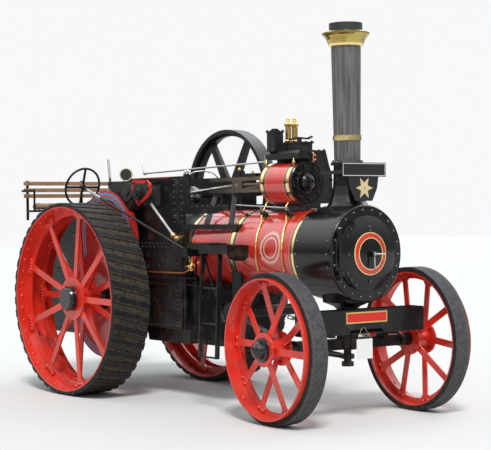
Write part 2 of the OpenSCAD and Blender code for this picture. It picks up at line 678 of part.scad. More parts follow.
module seat_roll() color("#8a6f4f") on_perch()
    translate([0, bench_y - 150, tender_top + bar + roll_r + fit]) x_rod(roll_r, -bench_x + 44, bench_x - 44);

belly_front = 1370;
module belly_tank() color("#18181a") on_perch() difference() {
    box(-375, 375, belly_front, firebox_front - 18 - fit, 570, boiler_z - 300);
    boiler_space(barrel_r + band_h + fit);
}

// Front carriage
beam_z0 = front_r - beam / 2;
beam_z1 = front_r + beam / 2;
perch_top = boiler_z - smokebox_r;
rod_eye_z = 548;
module perch_bracket() color("#1b1b1d") on_perch() {
    difference() {
        rotate_extrude($fn = 72) polygon([[0, beam_z1 + run], [98, beam_z1 + run], [98, beam_z1 + 40],
            [82, beam_z1 + 60], [82, 960], [120, 1000], [215, 1040], [230, 1120], [0, 1120]]);
        boiler_space(smokebox_r + fit);
    }
    z_rod(perch_pin_r, 461, beam_z1 + 1);
    radius_rods();
    translate([0, 0, 461]) cylinder(r = 58, h = 42, $fn = 6);
}

module radius_rods() {
    z_rod(62, 530, 570);
    both() rod([40, 50, rod_eye_z], [200, belly_front - 10, 610], 16);
    both() box(180, 220, belly_front - 30, belly_front - fit, 590, 630);
}

module front_axle() color("#1b1b1d") on_perch() at_front_axle() {
    difference() {
        union() {
            box(-600, 600, -38, 38, -beam / 2, beam / 2);
            z_rod(92, -beam / 2, beam / 2);
            x_rod(stub_r, -wheel_out + 10, wheel_out - 10);
            both() x_rod(60, 590, wheel_out - front_hub_len - gap);
            // lugs for the steering chains
            both() box(470, 500, 30, 92, -24, 24);
            // seats of the toolbox
            both() box(330, 380, -tray_back + fit, 0, beam / 2 - 20, tray_z0 - front_r - fit);
            both() box(330, 380, -tray_front + 20, 0, tray_z0 - front_r - 20, tray_z0 - front_r - fit);
        }
        z_rod(perch_pin_r + run, -beam, beam);
        both() translate([485, 70, 0]) z_rod(9, -40, 40);
    }
}

tray_front = 285;
tray_back = 112;
tray_x = 655;
tray_z0 = 772;
tray_z1 = 986;
module front_toolbox() color("#1b1b1d") on_perch() steered() difference() {
    union() {
        box(-tray_x, tray_x, -tray_front, -tray_back, tray_z0, tray_z1);
        // name plate with its border, blank
        box(-228, 228, -tray_front - 5, -tray_front + 1, 868, 966);
    }
    box(-tray_x + sheet, tray_x - sheet, -tray_front + sheet, -tray_back - sheet, tray_z0 + sheet, tray_z1 + 1);
    box(-218, 218, -tray_front - 6, -tray_front - 3, 878, 956);
    cross_plate([[-200, tray_z0 - 1], [-170, tray_z0 + 40], [170, tray_z0 + 40], [200, tray_z0 - 1]],
        -tray_front - 1, -tray_front + sheet + 1);
}

front_rim_r = front_r - front_rubber;
front_web_r = front_rim_r - 64;
front_web = front_lip + 75;
front_hub_r = 96;
front_hub_len = 210;
front_spoke_t = 14;
front_foot_r = (front_web_r + front_rim_r) / 2;
module front_spoke(x, lean) translate([x, 0, 0]) rotate([0, lean, 0]) side_plate([
    [-front_spoke_w / 2, front_hub_r - 30], [-front_spoke_w / 2, front_web_r - 14],
    [-56, front_web_r + 6], [-56, front_rim_r - rim_t - 8], [56, front_rim_r - rim_t - 8],
    [56, front_web_r + 6], [front_spoke_w / 2, front_web_r - 14],
    [front_spoke_w / 2, front_hub_r - 30]], 0, front_spoke_t);
module front_wheel() at_front_axle() difference() {
    union() {
        x_ring(front_rim_r, front_rim_r - rim_t, -wheel_out, -front_in);
        x_ring(front_rim_r - rim_t + mm_over, front_web_r, -wheel_out + front_web, -wheel_out + front_web + web_t);
        x_rod(front_hub_r, -wheel_out, -wheel_out + front_hub_len);
        for (d = [0, front_hub_len - 20]) x_rod(front_flange_r, -wheel_out + d, -wheel_out + d + 20);
        for (i = [0:front_spokes - 1]) {
            rotate([i * 360 / front_spokes + front_spoke_turn, 0, 0])
                front_spoke(-wheel_out + 12, atan((front_web + web_t - 14) / front_foot_r));
            rotate([(i + 0.5) * 360 / front_spokes + front_spoke_turn, 0, 0])
                front_spoke(-wheel_out + front_hub_len - 28,
                    -atan((front_hub_len - 28 + front_spoke_t - front_web - 2) / front_foot_r));
        }
    }
    x_rod(stub_r + run, -wheel_out - 10, -front_in + 90);
}
module front_wheel_right() color("#d8281f") on_perch() front_wheel();
module front_wheel_left() color("#d8281f") on_perch() mirrored_front() front_wheel();
// The left side of the turned axle
module mirrored_front() steered() mirror([1, 0, 0]) rotate([0, 0, steer_rest]) children();

module front_tyre() at_front_axle() x_ring(front_r, front_rim_r + fit / 10, -front_out, -front_in);
module front_tyre_right() color("#2e2d2c") on_perch() front_tyre();
module front_tyre_left() color("#2e2d2c") on_perch() mirrored_front() front_tyre();

module front_cap() at_front_axle() translate([-wheel_out, 0, 0]) rotate([0, 90, 0])
    rotate_extrude($fn = 72) polygon([[0, -104], [30, -98], [58, -82], [76, -56], [84, -28],
        [104, -22], [108, -fit], [0, -fit]]);
module front_cap_right() color("#1b1b1d") on_perch() front_cap();
module front_cap_left() color("#1b1b1d") on_perch() mirrored_front() front_cap();

// Steering gear
drum_y = 1150;
drum_z = 905;
drum_r = 55;
drum_x = 340;
wheel_x = -barrel_r - 25;
worm_r = 110;
module steering_drum() color("#2a2a2d") on_perch() {
    translate([0, drum_y, drum_z]) {
        x_rod(drum_r, -drum_x, drum_x);
        x_rod(24, wheel_x - 26, drum_x + gap + 30);
        for (i = [0:17]) rotate([i * 20, 0, 0]) box(wheel_x - 20, wheel_x + 20, -9, 9, worm_r - 24, worm_r);
        x_rod(worm_r - 14, wheel_x - 20, wheel_x + 20);
    }
    // hangers from the barrel
    both() difference() {
        side_plate([[drum_y - 50, drum_z - 40], [drum_y - 80, boiler_z - 150], [drum_y + 80, boiler_z - 150],
            [drum_y + 50, drum_z - 40]], drum_x + gap, drum_x + gap + 20);
        boiler_space(barrel_r + band_h + fit);
    }
}

// Chain runs from the drum to the axle's lugs, links turned by turns
link_p = 62;
chain_x = 485;
module chain(p, q) {
    v = q - p;
    n = floor(norm(v) / link_p);
    for (i = [0:n - 1]) translate(p + v * (i + 0.5) / n) rotate([0, 0, atan2(-v.x, v.y)])
        rotate([atan2(v.z, norm([v.x, v.y])), 0, 0]) rotate([0, (i % 2) * 90, 0])
            link();
}
module link() rotate([0, 90, 0]) linear_extrude(11, center = true) difference() {
    square([40, 84], center = true);
    square([18, 62], center = true);
}
lug = [chain_x, 100];
turned_lug = function(side) [side * lug.x * cos(steer_rest) + lug.y * sin(steer_rest),
    -side * lug.x * sin(steer_rest) + lug.y * cos(steer_rest), front_r];
module steering_chain_right() color("#8d8d90") on_perch()
    chain([-270, drum_y, drum_z - drum_r - 21.5], turned_lug(-1) + [0, 30, 0]);
module steering_chain_left() color("#8d8d90") on_perch()
    chain([270, drum_y, drum_z - drum_r - 21.5], turned_lug(1) + [0, 30, 0]);

shaft_x = -635;
shaft_top = [shaft_x, 3440, 2141];
shaft_low = [shaft_x, 1574, 1494];
shaft_r = 14;
worm_top = [wheel_x, 1600, 1480];
worm_low = [wheel_x, 1279, 839];
module steering_shaft() color("#1b1b1d") on_perch() {
    difference() {
        union() {
            rod(shaft_low, shaft_top, shaft_r);
            box(shaft_x - 24, -barrel_r, 1545, 1635, 1440, 1525);
        }
        boiler_space(barrel_r + fit);
    }
    steering_wheel();
    rod(worm_low - [0, 25, 50], worm_top, 14);
    rod(worm_low - [0, 16, 32], worm_low + [0, 20, 40], 34);
}
module steering_wheel() translate(shaft_top) rotate([-70.9, 0, 0]) {
    rotate_extrude() translate([205, 30]) circle(r = 12);
    cylinder(r = 30, h = 46);
    for (a = [0:3]) rotate([0, 0, a * 90]) translate([0, -11, 22]) cube([206, 22, 12]);
}

// Right side platform and ladder
board_x0 = -660;
board_x1 = -barrel_r - 6;
board_y0 = 905;
board_y1 = 1350;
board_z = 1474;
board_h = 78;
apron_h = 66;           // the front below the board
bracket_ys = [board_y0 + 60, board_y1 - 60];
module running_board() color("#1b1b1d") on_perch() {
    ladder();
    difference() {
        union() {
            difference() {
                box(board_x0, board_x1, board_y0, board_y1, board_z, board_z + board_h);
                box(board_x0 + 10, board_x1 + 1, board_y0 + 10, board_y1 + 1, board_z + 26, board_z + board_h - 9);
                box(board_x0 + 34, board_x1 + 1, board_y0 + 34, board_y1 - 34, board_z - 1, board_z + 40);
            }
            // curved front below the board
            cross_plate(concat([[board_x1, board_z + 30], [board_x0 + 2, board_z + 30]],
                [for (a = [0:10:90]) [board_x0 + 2 + 110 * (1 - cos(a)), board_z - apron_h * sin(a)]],
                [[board_x1 - 40, board_z - apron_h], [board_x1, board_z - 30]]), board_y0 - 1, board_y0 + 8);
            // two flat boxes behind the board
            box(board_x0 + 24, board_x1 - 6, board_y1 - 120, board_y1 - 20, board_z + board_h - 1, board_z + board_h + 16);
            box(board_x0 + 30, board_x1 - 4, board_y1 - 8, 1540, board_z + 36, board_z + board_h + 20);
            for (y = bracket_ys) box(board_x0 + 60, -barrel_r + 8, y, y + 30, board_z + 10, board_z + board_h - 8);
        }
        difference() {
            boiler_space(barrel_r + band_h + fit);
            for (y = bracket_ys) box(-500, 0, y - 1, y + 31, board_z - 20, board_z + board_h + 5);
        }
        boiler_space(barrel_r + fit);
    }
}

rail_ys = [1070, 1334];
rung_zs = [500, 815, 1147];
rail_top = [-620, board_z + 20];
rail_low = [-668, 492];
module ladder() {
    for (y = rail_ys) flat_bar([rail_low.x, y, rail_low.y], [rail_top.x, y, rail_top.y], 20, 44);
    for (z = rung_zs) {
        x = rail_low.x + (rail_top.x - rail_low.x) * (z - rail_low.y) / (rail_top.y - rail_low.y);
        rod([x, rail_ys[0], z], [x, rail_ys[1], z], 10);
    }
}

// Number plate and its bracket in front of the chimney base
module number_plate() color("#1b1b1d") on_perch() {
    cross_plate([[-262, 2160], [-262, 2286], [262, 2286], [262, 2160]], -252, -244);
    cross_plate([[-178, 2170], [178, 2170], [160, 2060], [100, 1945], [-100, 1945], [-160, 2060]], -245, -236);
    // star with six points
    cross_plate([for (i = [0:11]) (i % 2 ? 46 : 102) * [sin(30 * i + 30), cos(30 * i + 30)] + [0, 2060]],
        -250, -244);
    difference() {
        union() {
            box(-60, 60, -245, chimney_y - 100, 2190, 2214);
            translate([0, chimney_y, 0]) z_rod(146, 2190, 2214);
            both() {
                box(188, 212, -245, 105, 2186, 2218);
                box(100, 212, 60, 84, 2190, 2214);
            }
        }
        translate([0, chimney_y, 0]) z_rod(127, 2000, 2400);
    }
}

// Towing hitch
module drawbar() color("#1f1f22") on_perch() difference() {
    union() {
        box(-110, 110, tender_rear + fit, tender_rear + 24, 660, 860);
        for (z = [690, 800]) {
            box(-60, 60, tender_rear + 20, rear_end - 60, z, z + 30);
            translate([0, rear_end - 60, 0]) z_rod(60, z, z + 30);
        }
    }
    translate([0, rear_end - 60, 0]) z_rod(26, 600, 900);
}

firebox();
hornplate_right();
hornplate_left();
boiler_barrel();
smokebox();
smokebox_door();
door_ring();
chimney_base();
chimney();
chimney_cap();
cylinder_block();
cylinder_jacket();
cylinder_cover();
safety_valves();
slide_bars();
crosshead();
connecting_rod();
motion_bracket();
control_rods();
crankshaft();
flywheel();
gear_guard();
feed_pump();
rear_axle();
rear_wheel_right();
rear_tyre_right();
rear_cap_right();
rear_wheel_left();
rear_tyre_left();
rear_cap_left();
tender();
footplate();
bench_frame();
bench_slats();
seat_roll();
belly_tank();
perch_bracket();
front_axle();
front_toolbox();
front_wheel_right();
front_tyre_right();
front_cap_right();
front_wheel_left();
front_tyre_left();
front_cap_left();
steering_drum();
steering_chain_right();
steering_chain_left();
steering_shaft();
running_board();
number_plate();
drawbar();
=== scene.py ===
"""Steam traction engine: finishes, rivets, plates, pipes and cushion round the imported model."""
import json
import math

import bmesh
import bpy
from bpy.props import FloatProperty, FloatVectorProperty, IntProperty, PointerProperty
from mathutils import Matrix, Vector


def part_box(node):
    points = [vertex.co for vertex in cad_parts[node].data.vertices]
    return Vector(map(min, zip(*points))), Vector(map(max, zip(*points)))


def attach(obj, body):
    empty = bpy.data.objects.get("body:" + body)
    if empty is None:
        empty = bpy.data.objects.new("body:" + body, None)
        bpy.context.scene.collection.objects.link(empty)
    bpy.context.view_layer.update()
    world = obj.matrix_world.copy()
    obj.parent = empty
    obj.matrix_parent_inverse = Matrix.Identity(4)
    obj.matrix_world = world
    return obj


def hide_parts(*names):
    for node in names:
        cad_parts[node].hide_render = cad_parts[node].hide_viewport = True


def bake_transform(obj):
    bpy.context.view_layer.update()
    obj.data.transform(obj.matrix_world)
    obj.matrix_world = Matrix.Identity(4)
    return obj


bl_info = {
    "name": "Steam traction engine",
    "version": (1, 0, 0),
    "blender": (4, 5, 0),
    "location": "View3D > Sidebar > Engine",
    "description": "Paints and dresses a steam traction engine",
    "category": "Object",
}

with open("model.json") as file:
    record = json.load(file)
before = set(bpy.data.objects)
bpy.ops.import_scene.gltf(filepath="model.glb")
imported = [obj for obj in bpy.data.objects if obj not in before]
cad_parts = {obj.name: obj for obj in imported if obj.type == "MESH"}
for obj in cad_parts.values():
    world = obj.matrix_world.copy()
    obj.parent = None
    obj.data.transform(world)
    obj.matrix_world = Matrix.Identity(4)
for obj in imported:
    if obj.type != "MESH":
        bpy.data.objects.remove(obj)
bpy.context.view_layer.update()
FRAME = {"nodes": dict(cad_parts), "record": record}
NODES = FRAME["nodes"]

# Driving sizes in millimetres, and the front axle's turn at rest
WHEELBASE = 3143
REAR_R = 990
FRONT_R = 665
BOILER_Z = 1478
REAR_SPOKES = 9
FRONT_SPOKES = 5
REAR_BARS = 44
STEER_REST = math.radians(4.9)

UP = Vector((0, 0, 1))
AHEAD = Vector((0, -1, 0))
BACK = Vector((0, 1, 0))
LEFT = Vector((1, 0, 0))
RIGHT = Vector((-1, 0, 0))
SIDES = ((-1, "right"), (1, "left"))


def centre(node):
    low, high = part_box(node)
    return (low + high) / 2


REAR_AXLE = centre("rear_axle")
PERCH_Y = REAR_AXLE.y - WHEELBASE / 1000


def at(x, y, z):
    """A place given in millimetres from the perch pin."""
    return Vector((x / 1000, y / 1000 + PERCH_Y, z / 1000))


def place(spot):
    """A tuple in millimetres becomes a place, and a place stays as it is."""
    return spot if isinstance(spot, Vector) else at(*spot)


def steered(x, y, z):
    """A place on the front axle, which is turned at rest."""
    return steered_way(x / 1000, y / 1000, z / 1000) + Vector((0, PERCH_Y, 0))


def steered_way(x, y, z):
    """A direction on the front axle."""
    return Matrix.Rotation(-STEER_REST, 3, "Z") @ Vector((x, y, z))


# Nodes and shader maths


def maths(operation, swapped=False):
    """A method that adds a Math node."""
    def method(self, *others):
        values = (self, *others)
        return self.owner.node("ShaderNodeMath", {"operation": operation},
                               dict(enumerate(values[::-1] if swapped else values)))
    return method


class Value:
    """A socket whose operators add Math nodes."""

    def __init__(self, owner, socket):
        self.owner = owner
        self.socket = socket

    def out(self, key):
        return Value(self.owner, self.socket.node.outputs[key])

    __add__ = __radd__ = maths("ADD")
    __sub__ = maths("SUBTRACT")
    __rsub__ = maths("SUBTRACT", swapped=True)
    __mul__ = __rmul__ = maths("MULTIPLY")
    __truediv__ = maths("DIVIDE")
    __pow__ = maths("POWER")
    __abs__ = maths("ABSOLUTE")
    most = maths("MAXIMUM")
    least = maths("MINIMUM")


class Nodes:
    """A node tree, built through one method."""

    def __init__(self, tree):
        self.tree = tree

    def node(self, kind, settings=None, sockets=None, out=0):
        made = self.tree.nodes.new(kind)
        for key, value in (settings or {}).items():
            if key == "stops":
                ramp = made.color_ramp.elements
                while len(ramp) < len(value):
                    ramp.new(1.0)
                for element, (position, colour) in zip(ramp, value):
                    element.position = position
                    element.color = colour
            else:
                setattr(made, key, value)
        for key, value in (sockets or {}).items():
            self.feed(made.inputs[key], value)
        return Value(self, made.outputs[out])

    def feed(self, socket, value):
        if isinstance(value, Value):
            self.tree.links.new(value.socket, socket)
        else:
            socket.default_value = value

    def xyz(self, vector):
        split = self.node("ShaderNodeSeparateXYZ", None, {0: vector})
        return [split.out(i) for i in range(3)]

    def ramp(self, value, low, high):
        """0 up to low, 1 from high, smooth between."""
        return self.node("ShaderNodeMapRange", {"interpolation_type": "SMOOTHSTEP"},
                         {0: value, 1: low, 2: high})

    def fall(self, value, low, high):
        """1 up to low, 0 from high."""
        return 1 - self.ramp(value, low, high)

    def band(self, value, middle, half, soft=0.0012):
        """1 where value lies within half of middle."""
        return self.fall(abs(value - middle), half - soft, half + soft)

    def mix(self, first, second, factor):
        return self.node("ShaderNodeMix", {"data_type": "RGBA"}, {"Factor": factor, 6: first, 7: second}, 2)


class Finish(Nodes):
    """One material, with its Principled shader and its coordinates."""

    def __init__(self, name):
        self.material = bpy.data.materials.new(name)
        self.material.use_nodes = True
        super().__init__(self.material.node_tree)
        self.shader = self.tree.nodes["Principled BSDF"]
        self.place = self.node("ShaderNodeTexCoord", out="Object")
        self.x, self.y, self.z = self.xyz(self.place)

    def set(self, **sockets):
        for name, value in sockets.items():
            self.feed(self.shader.inputs[name.replace("_", " ")], value)
        return self

    def over(self, colour, mask):
        """Lays a colour over what is there, where mask is 1."""
        self.base = self.mix(self.base, colour, mask)
        return self.set(Base_Color=self.base)

    def noise(self, scale, detail=3.0, stretch=None):
        where = self.place
        if stretch:
            where = self.node("ShaderNodeMapping", None, {0: self.place, "Scale": stretch})
        return self.node("ShaderNodeTexNoise", None, {"Vector": where, "Scale": scale, "Detail": detail})

    def bump(self, height, distance, strength=1.0):
        self.set(Normal=self.node("ShaderNodeBump", None,
                                  {"Height": height, "Distance": distance, "Strength": strength}))

    def steered_xyz(self):
        """Coordinates along the turned front axle, from the perch pin."""
        return self.xyz(self.node("ShaderNodeMapping", {"vector_type": "TEXTURE"}, {
            0: self.place, "Location": (0, PERCH_Y, 0), "Rotation": (0, 0, -STEER_REST)}))


def rgb(colour):
    return (*colour[:3], 1.0)


def length2(a, b):
    return (a * a + b * b) ** 0.5


GOLD = (0.80, 0.60, 0.21, 1)
NAVY = (0.012, 0.022, 0.07, 1)
ORANGE = (0.85, 0.20, 0.03, 1)
BLUE = (0.10, 0.34, 0.60, 1)
CREAM = (0.80, 0.72, 0.52, 1)
DUST = (0.16, 0.12, 0.085, 1)
TARNISH = (0.1, 0.07, 0.04, 1)


def paint(name, colour, rough, coat, dirt, gloss=0.5):
    """Gloss paint with faint cloudiness, some dust low down and dull patches."""
    made = Finish(name)
    cloud = made.noise(2.6, 4.0)
    speck = made.noise(60.0, 3.0)
    low = made.fall(made.z, 0.15, 0.9)
    grime = made.ramp(made.noise(9.0, 6.0) + low * 0.22, 0.52, 0.80) * dirt
    deep = [part * 0.72 for part in colour[:3]]
    made.base = made.mix(rgb(deep), rgb(colour), made.ramp(cloud, 0.30, 0.62))
    made.over(DUST, grime)
    made.rough = rough + speck * 0.10 + grime * 0.5 + cloud * 0.06
    made.set(Roughness=made.rough, Coat_Weight=coat, Coat_Roughness=0.08, Specular_IOR_Level=gloss)
    made.bump(made.noise(35.0, 2.0) + speck * 0.3, 0.0009, 0.5)
    return made


def metal(name, colour, rough, dull, tarnish=TARNISH):
    """Bare or polished metal with tarnish in patches."""
    made = Finish(name)
    grain = made.noise(120.0, 2.0)
    patch = made.ramp(made.noise(7.0, 5.0), 0.42, 0.72) * dull
    made.base = rgb(colour)
    made.over(tarnish, patch)
    made.set(Metallic=1.0, Roughness=rough + patch * 0.25 + grain * 0.12)
    made.bump(grain, 0.0004, 0.4)
    return made


def with_lines(made, value, lines):
    """Stripes in paint or brass across a painted piece: (middle, half width, colour, is it brass)."""
    brass = None
    for middle, half, tint, bright in lines:
        mask = made.band(value, middle, half)
        made.over(tint, mask)
        if bright:
            brass = mask if brass is None else brass.most(mask)
    if brass is not None:
        made.set(Metallic=brass, Roughness=made.rough * (1 - brass * 0.45))
    return made


def band_lines(middle, sides=(-1, 1), half=0.023, edge=0.026, line=0.004):
    """A brass band with dark edges and a thin orange line beyond each."""
    lines = [(middle, half, GOLD, True)]
    for side in sides:
        lines.append((middle + side * (half + edge / 2), edge / 2, NAVY, False))
        lines.append((middle + side * (half + edge + 0.012), line, ORANGE, False))
    return lines


class EngineSettings(bpy.types.PropertyGroup):
    """Colours and sizes of the dressing."""

    wheel_red: FloatVectorProperty(
        name="Wheel red", description="Paint of the wheels", subtype="COLOR",
        size=3, default=(0.74, 0.030, 0.013), min=0, max=1)
    boiler_red: FloatVectorProperty(
        name="Boiler red", description="Paint of the barrel and cylinder", subtype="COLOR",
        size=3, default=(0.62, 0.026, 0.016), min=0, max=1)
    black: FloatVectorProperty(
        name="Black", description="Paint of the frame and tender", subtype="COLOR",
        size=3, default=(0.0085, 0.0082, 0.0086), min=0, max=1)
    rivet_radius: FloatProperty(
        name="Rivet radius", description="Radius of a plate rivet's head",
        default=0.0165, min=0.006, max=0.02, unit="LENGTH")
    rivet_height: FloatProperty(
        name="Rivet height", description="Height of a plate rivet's head",
        default=0.0105, min=0.003, max=0.012, unit="LENGTH")
    smokebox_rivets: IntProperty(
        name="Smokebox rivets", description="Rivets in each ring of the smokebox",
        default=22, min=12, max=36)
    card_size: FloatProperty(
        name="Card size", description="Side of the blank card under the front box",
        default=0.176, min=0.1, max=0.25, unit="LENGTH")
    cushion_seams: IntProperty(
        name="Cushion seams", description="Sewn seams along the roll of the bench",
        default=9, min=3, max=16)


def settings():
    return bpy.context.scene.engine_settings


# Finishes


def finishes():
    """The plain paints and metals, by name."""
    s = settings()
    paints = (
        # name, colour, roughness, coat, dirt, gloss
        ("black_paint", s.black, 0.24, 0.12, 0.25, 0.22),
        ("cap_black", s.black, 0.12, 0.5, 0.1, 0.3),
        ("black_iron", (0.0145, 0.014, 0.0145), 0.32, 0.08, 0.22, 0.3),
        ("smokebox_black", (0.0065, 0.006, 0.0068), 0.15, 0.22, 0.1, 0.28),
        ("grey_paint", (0.017, 0.017, 0.0185), 0.3, 0.15, 0.12, 0.3),
        # rivet heads get a lighter black than the paint round them: a painted highlight, so that they read as
        # light dots
        ("rivet_black", (0.024, 0.024, 0.026), 0.14, 0.7, 0.05),
        ("wheel_red", s.wheel_red, 0.26, 0.4, 0.2),
        ("boiler_red", s.boiler_red, 0.17, 0.8, 0.07),
        ("floor_plate", (0.03, 0.028, 0.026), 0.5, 0.0, 0.5),
    )
    metals = (
        # name, colour, roughness, tarnish
        ("copper_brass", (0.80, 0.46, 0.20), 0.16, 0.35),
        ("brass", (0.80, 0.55, 0.20), 0.17, 0.3),
        ("copper", (0.75, 0.33, 0.16), 0.25, 0.5),
        ("bright_steel", (0.50, 0.50, 0.50), 0.28, 0.45),
        ("brown_steel", (0.22, 0.18, 0.14), 0.4, 0.6),
    )
    made = {given[0]: paint(*given) for given in paints}
    made.update({given[0]: metal(*given) for given in metals})
    return made


# Middle of the barrel's emblem, a plain double ring
EMBLEM_Y = 0.595
EMBLEM_Z = 1.528


def barrel_finish():
    made = paint("barrel_paint", settings().boiler_red, 0.17, 0.8, 0.06)
    with_lines(made, made.y - PERCH_Y, band_lines(0.265, (1,)) + band_lines(1.175) + band_lines(1.873, (-1,)))
    mark = length2(made.y - (PERCH_Y + EMBLEM_Y), made.z - EMBLEM_Z)
    for radius, half, cover in ((0.151, 0.0015, 0.6), (0.134, 0.0095, 0.62), (0.092, 0.0085, 0.5)):
        made.over(CREAM, made.band(mark, radius, half, 0.0008) * cover)
    return made


def jacket_finish():
    made = paint("jacket_paint", settings().boiler_red, 0.17, 0.8, 0.05)
    lines = band_lines(0.470, (1,), 0.02, 0.022, 0.003) + band_lines(0.840, (-1,), 0.02, 0.022, 0.003)
    return with_lines(made, made.y - PERCH_Y, lines)


def chimney_finish():
    """Grey-black paint with lighter upright streaks of painted sheen, brownish patches, still black above the
    cap.
    """
    made = paint("chimney_paint", (0.074, 0.072, 0.072), 0.36, 0.15, 0.1)
    # lighter grey upright streaks: a painted sheen
    made.over((0.145, 0.140, 0.136, 1), made.ramp(made.noise(9.0, 5.0, (5, 5, 0.25)), 0.36, 0.66))
    made.over((0.085, 0.068, 0.055, 1), made.ramp(made.noise(4.0, 4.0, (3, 3, 0.5)), 0.45, 0.75) * 0.4)
    return made.over((0.020, 0.022, 0.026, 1), made.ramp(made.z, 3.452, 3.462))


def cap_finish():
    """Chimney cap: olive brass, brighter round its foot."""
    made = metal("cap_brass", (0.52, 0.40, 0.12), 0.16, 0.5, (0.22, 0.12, 0.04, 1))
    return made.over((0.95, 0.74, 0.36, 1), made.fall(made.z, 3.345, 3.362))


def ring_finish():
    """The door's red ring with thin gold edges."""
    made = paint("ring_paint", settings().boiler_red, 0.2, 0.7, 0.03)
    middle = centre("door_ring")
    radius = length2(made.x - middle.x, made.z - middle.z)
    return with_lines(made, radius, [(edge, 0.004, GOLD, False) for edge in (0.139, 0.187)])


# The gear guard's radius round the axle, and its lobe's place and radius
GUARD_R = 0.635
LOBE_Y, LOBE_Z, LOBE_R = 3.075, 1.610, 0.490


def guard_finish():
    """Red gear guard with two light blue lines inside its lip, and a black foot."""
    made = paint("guard_paint", settings().boiler_red, 0.22, 0.5, 0.15)
    wheel = length2(made.y - REAR_AXLE.y, made.z - REAR_AXLE.z)
    lobe = length2(made.y - (PERCH_Y + LOBE_Y), made.z - LOBE_Z)
    inside = (GUARD_R - wheel).most(LOBE_R - lobe)
    plain = made.base
    with_lines(made, inside, [(0.030, 0.013, BLUE, False), (0.052, 0.004, ORANGE, False),
                              (0.078, 0.011, BLUE, False), (0.094, 0.004, NAVY, False)])
    made.over(plain, made.ramp(made.x, -0.6010, -0.6000))
    return made.over(rgb(settings().black), made.ramp(made.x, -0.4905, -0.4895))


# Outline of the crankshaft's outer bearing round its middle, in millimetres
BEARING = [(151, 141), (-117, 134), (-178, 90), (-176, 14), (-94, -55), (53, -121), (167, -10)]
BEARING_MIDDLE = (2440, 2060)
# Middle of the round case with the cream line
CASE_X, CASE_Y, CASE_Z = -0.540, 2.762, 2.262


def hornplate_finish():
    """Black hornplate, with a red border on the outer bearing and a red line on its top edge."""
    made = paint("hornplate_paint", settings().black, 0.26, 0.1, 0.28, 0.24)
    y = made.y - (PERCH_Y + BEARING_MIDDLE[0] / 1000)
    z = made.z - BEARING_MIDDLE[1] / 1000
    depth = None
    for (y0, z0), (y1, z1) in zip(BEARING, BEARING[1:] + BEARING[:1]):
        length = math.hypot(y1 - y0, z1 - z0)
        along, down = (z0 - z1) / length, (y1 - y0) / length
        edge = y * along + z * down - (y0 * along + z0 * down) / 1000
        depth = edge if depth is None else depth.least(edge)
    border = made.band(depth, 0.015, 0.017) * made.fall(made.x, -0.5665, -0.5655)
    top = made.band(made.z, 2.216, 0.003) * made.ramp(made.x, -0.4235, -0.4225) * made.ramp(y, -0.31, -0.30)
    case_y = made.y - (PERCH_Y + CASE_Y)
    case = length2(length2(made.x - CASE_X, case_y), made.z - CASE_Z)
    made.over((0.035, 0.035, 0.037, 1), made.fall(made.x, -0.425, -0.424))
    made.over(rgb(settings().boiler_red), border.most(top))
    return made.over(CREAM, made.band(case, 0.0640, 0.0045) * made.fall(made.x + case_y, -0.5530, -0.5515))


def crank_finish():
    """Bright crankshaft, black outside the outer bearing."""
    made = metal("crank_metal", (0.42, 0.42, 0.42), 0.28, 0.5)
    black = made.fall(made.x, -0.583, -0.581)
    return made.over((0.012, 0.012, 0.013, 1), black).set(Metallic=1 - black * 0.9)


def shaft_finish():
    """Steering shaft, worn bright near the hand wheel."""
    made = paint("steering_paint", settings().black, 0.25, 0.12, 0.25, 0.24)
    y = made.y - PERCH_Y
    bright = made.ramp(y, 3.09, 3.13) * made.fall(y, 3.36, 3.37)
    return made.over((0.42, 0.42, 0.43, 1), bright).set(Metallic=bright * 0.9)


def pump_finish():
    """Feed pump: a bright rod, a brass gland and a black body."""
    made = metal("pump_metal", (0.46, 0.46, 0.46), 0.26, 0.4)
    made.over((0.72, 0.46, 0.18, 1), made.fall(made.z, 1.652, 1.660))
    body = made.fall(made.z, 1.612, 1.618)
    return made.over((0.014, 0.013, 0.013, 1), body).set(Metallic=1 - body * 0.95)


def rods_finish():
    """Control rods: the regulator rod is bright, and so is the top of the reversing lever."""
    made = metal("rod_metal", (0.10, 0.095, 0.09), 0.42, 0.5)
    return made.over((0.45, 0.45, 0.45, 1), made.ramp(made.z, 2.235, 2.26))


# Slant of the rear tyre's bars, and the middle of the tyre's width in metres
BAR_SLANT = math.tan(math.radians(15))
REAR_MIDDLE = 0.890


def rear_tyre_finish():
    """Black bars worn clean along their tops, over a ring of dried mud."""
    made = Finish("rear_rubber")
    y, z = made.y - REAR_AXLE.y, made.z - REAR_AXLE.z
    out = abs(made.x)
    round_wheel = made.node("ShaderNodeMath", {"operation": "ARCTAN2"}, {0: y, 1: 0 - z})
    step = (round_wheel - (REAR_MIDDLE - out) * (BAR_SLANT / 0.985)) / (math.tau / REAR_BARS)
    off = abs(step - made.node("ShaderNodeMath", {"operation": "ROUND"}, {0: step}))
    rub = made.noise(14.0, 5.0)
    top = made.ramp(length2(y, z), 0.976, 0.988) * made.fall(off + rub * 0.10, 0.20, 0.31)
    clean = top.most(made.ramp(out, 1.1035, 1.1045).most(made.fall(out, 0.6755, 0.6765)))
    soil = made.ramp(made.noise(24.0, 6.0), 0.32, 0.68)
    mud = made.mix((0.030, 0.024, 0.018, 1), (0.078, 0.061, 0.046, 1), soil)
    rubber = made.mix((0.008, 0.008, 0.0095, 1), (0.030, 0.026, 0.023, 1), made.ramp(rub, 0.5, 0.75))
    made.set(Base_Color=made.mix(mud, rubber, clean), Roughness=0.88 - clean * 0.26 + rub * 0.1,
             Specular_IOR_Level=0.3)
    made.bump(made.noise(70.0, 5.0), 0.003, 0.6)
    return made


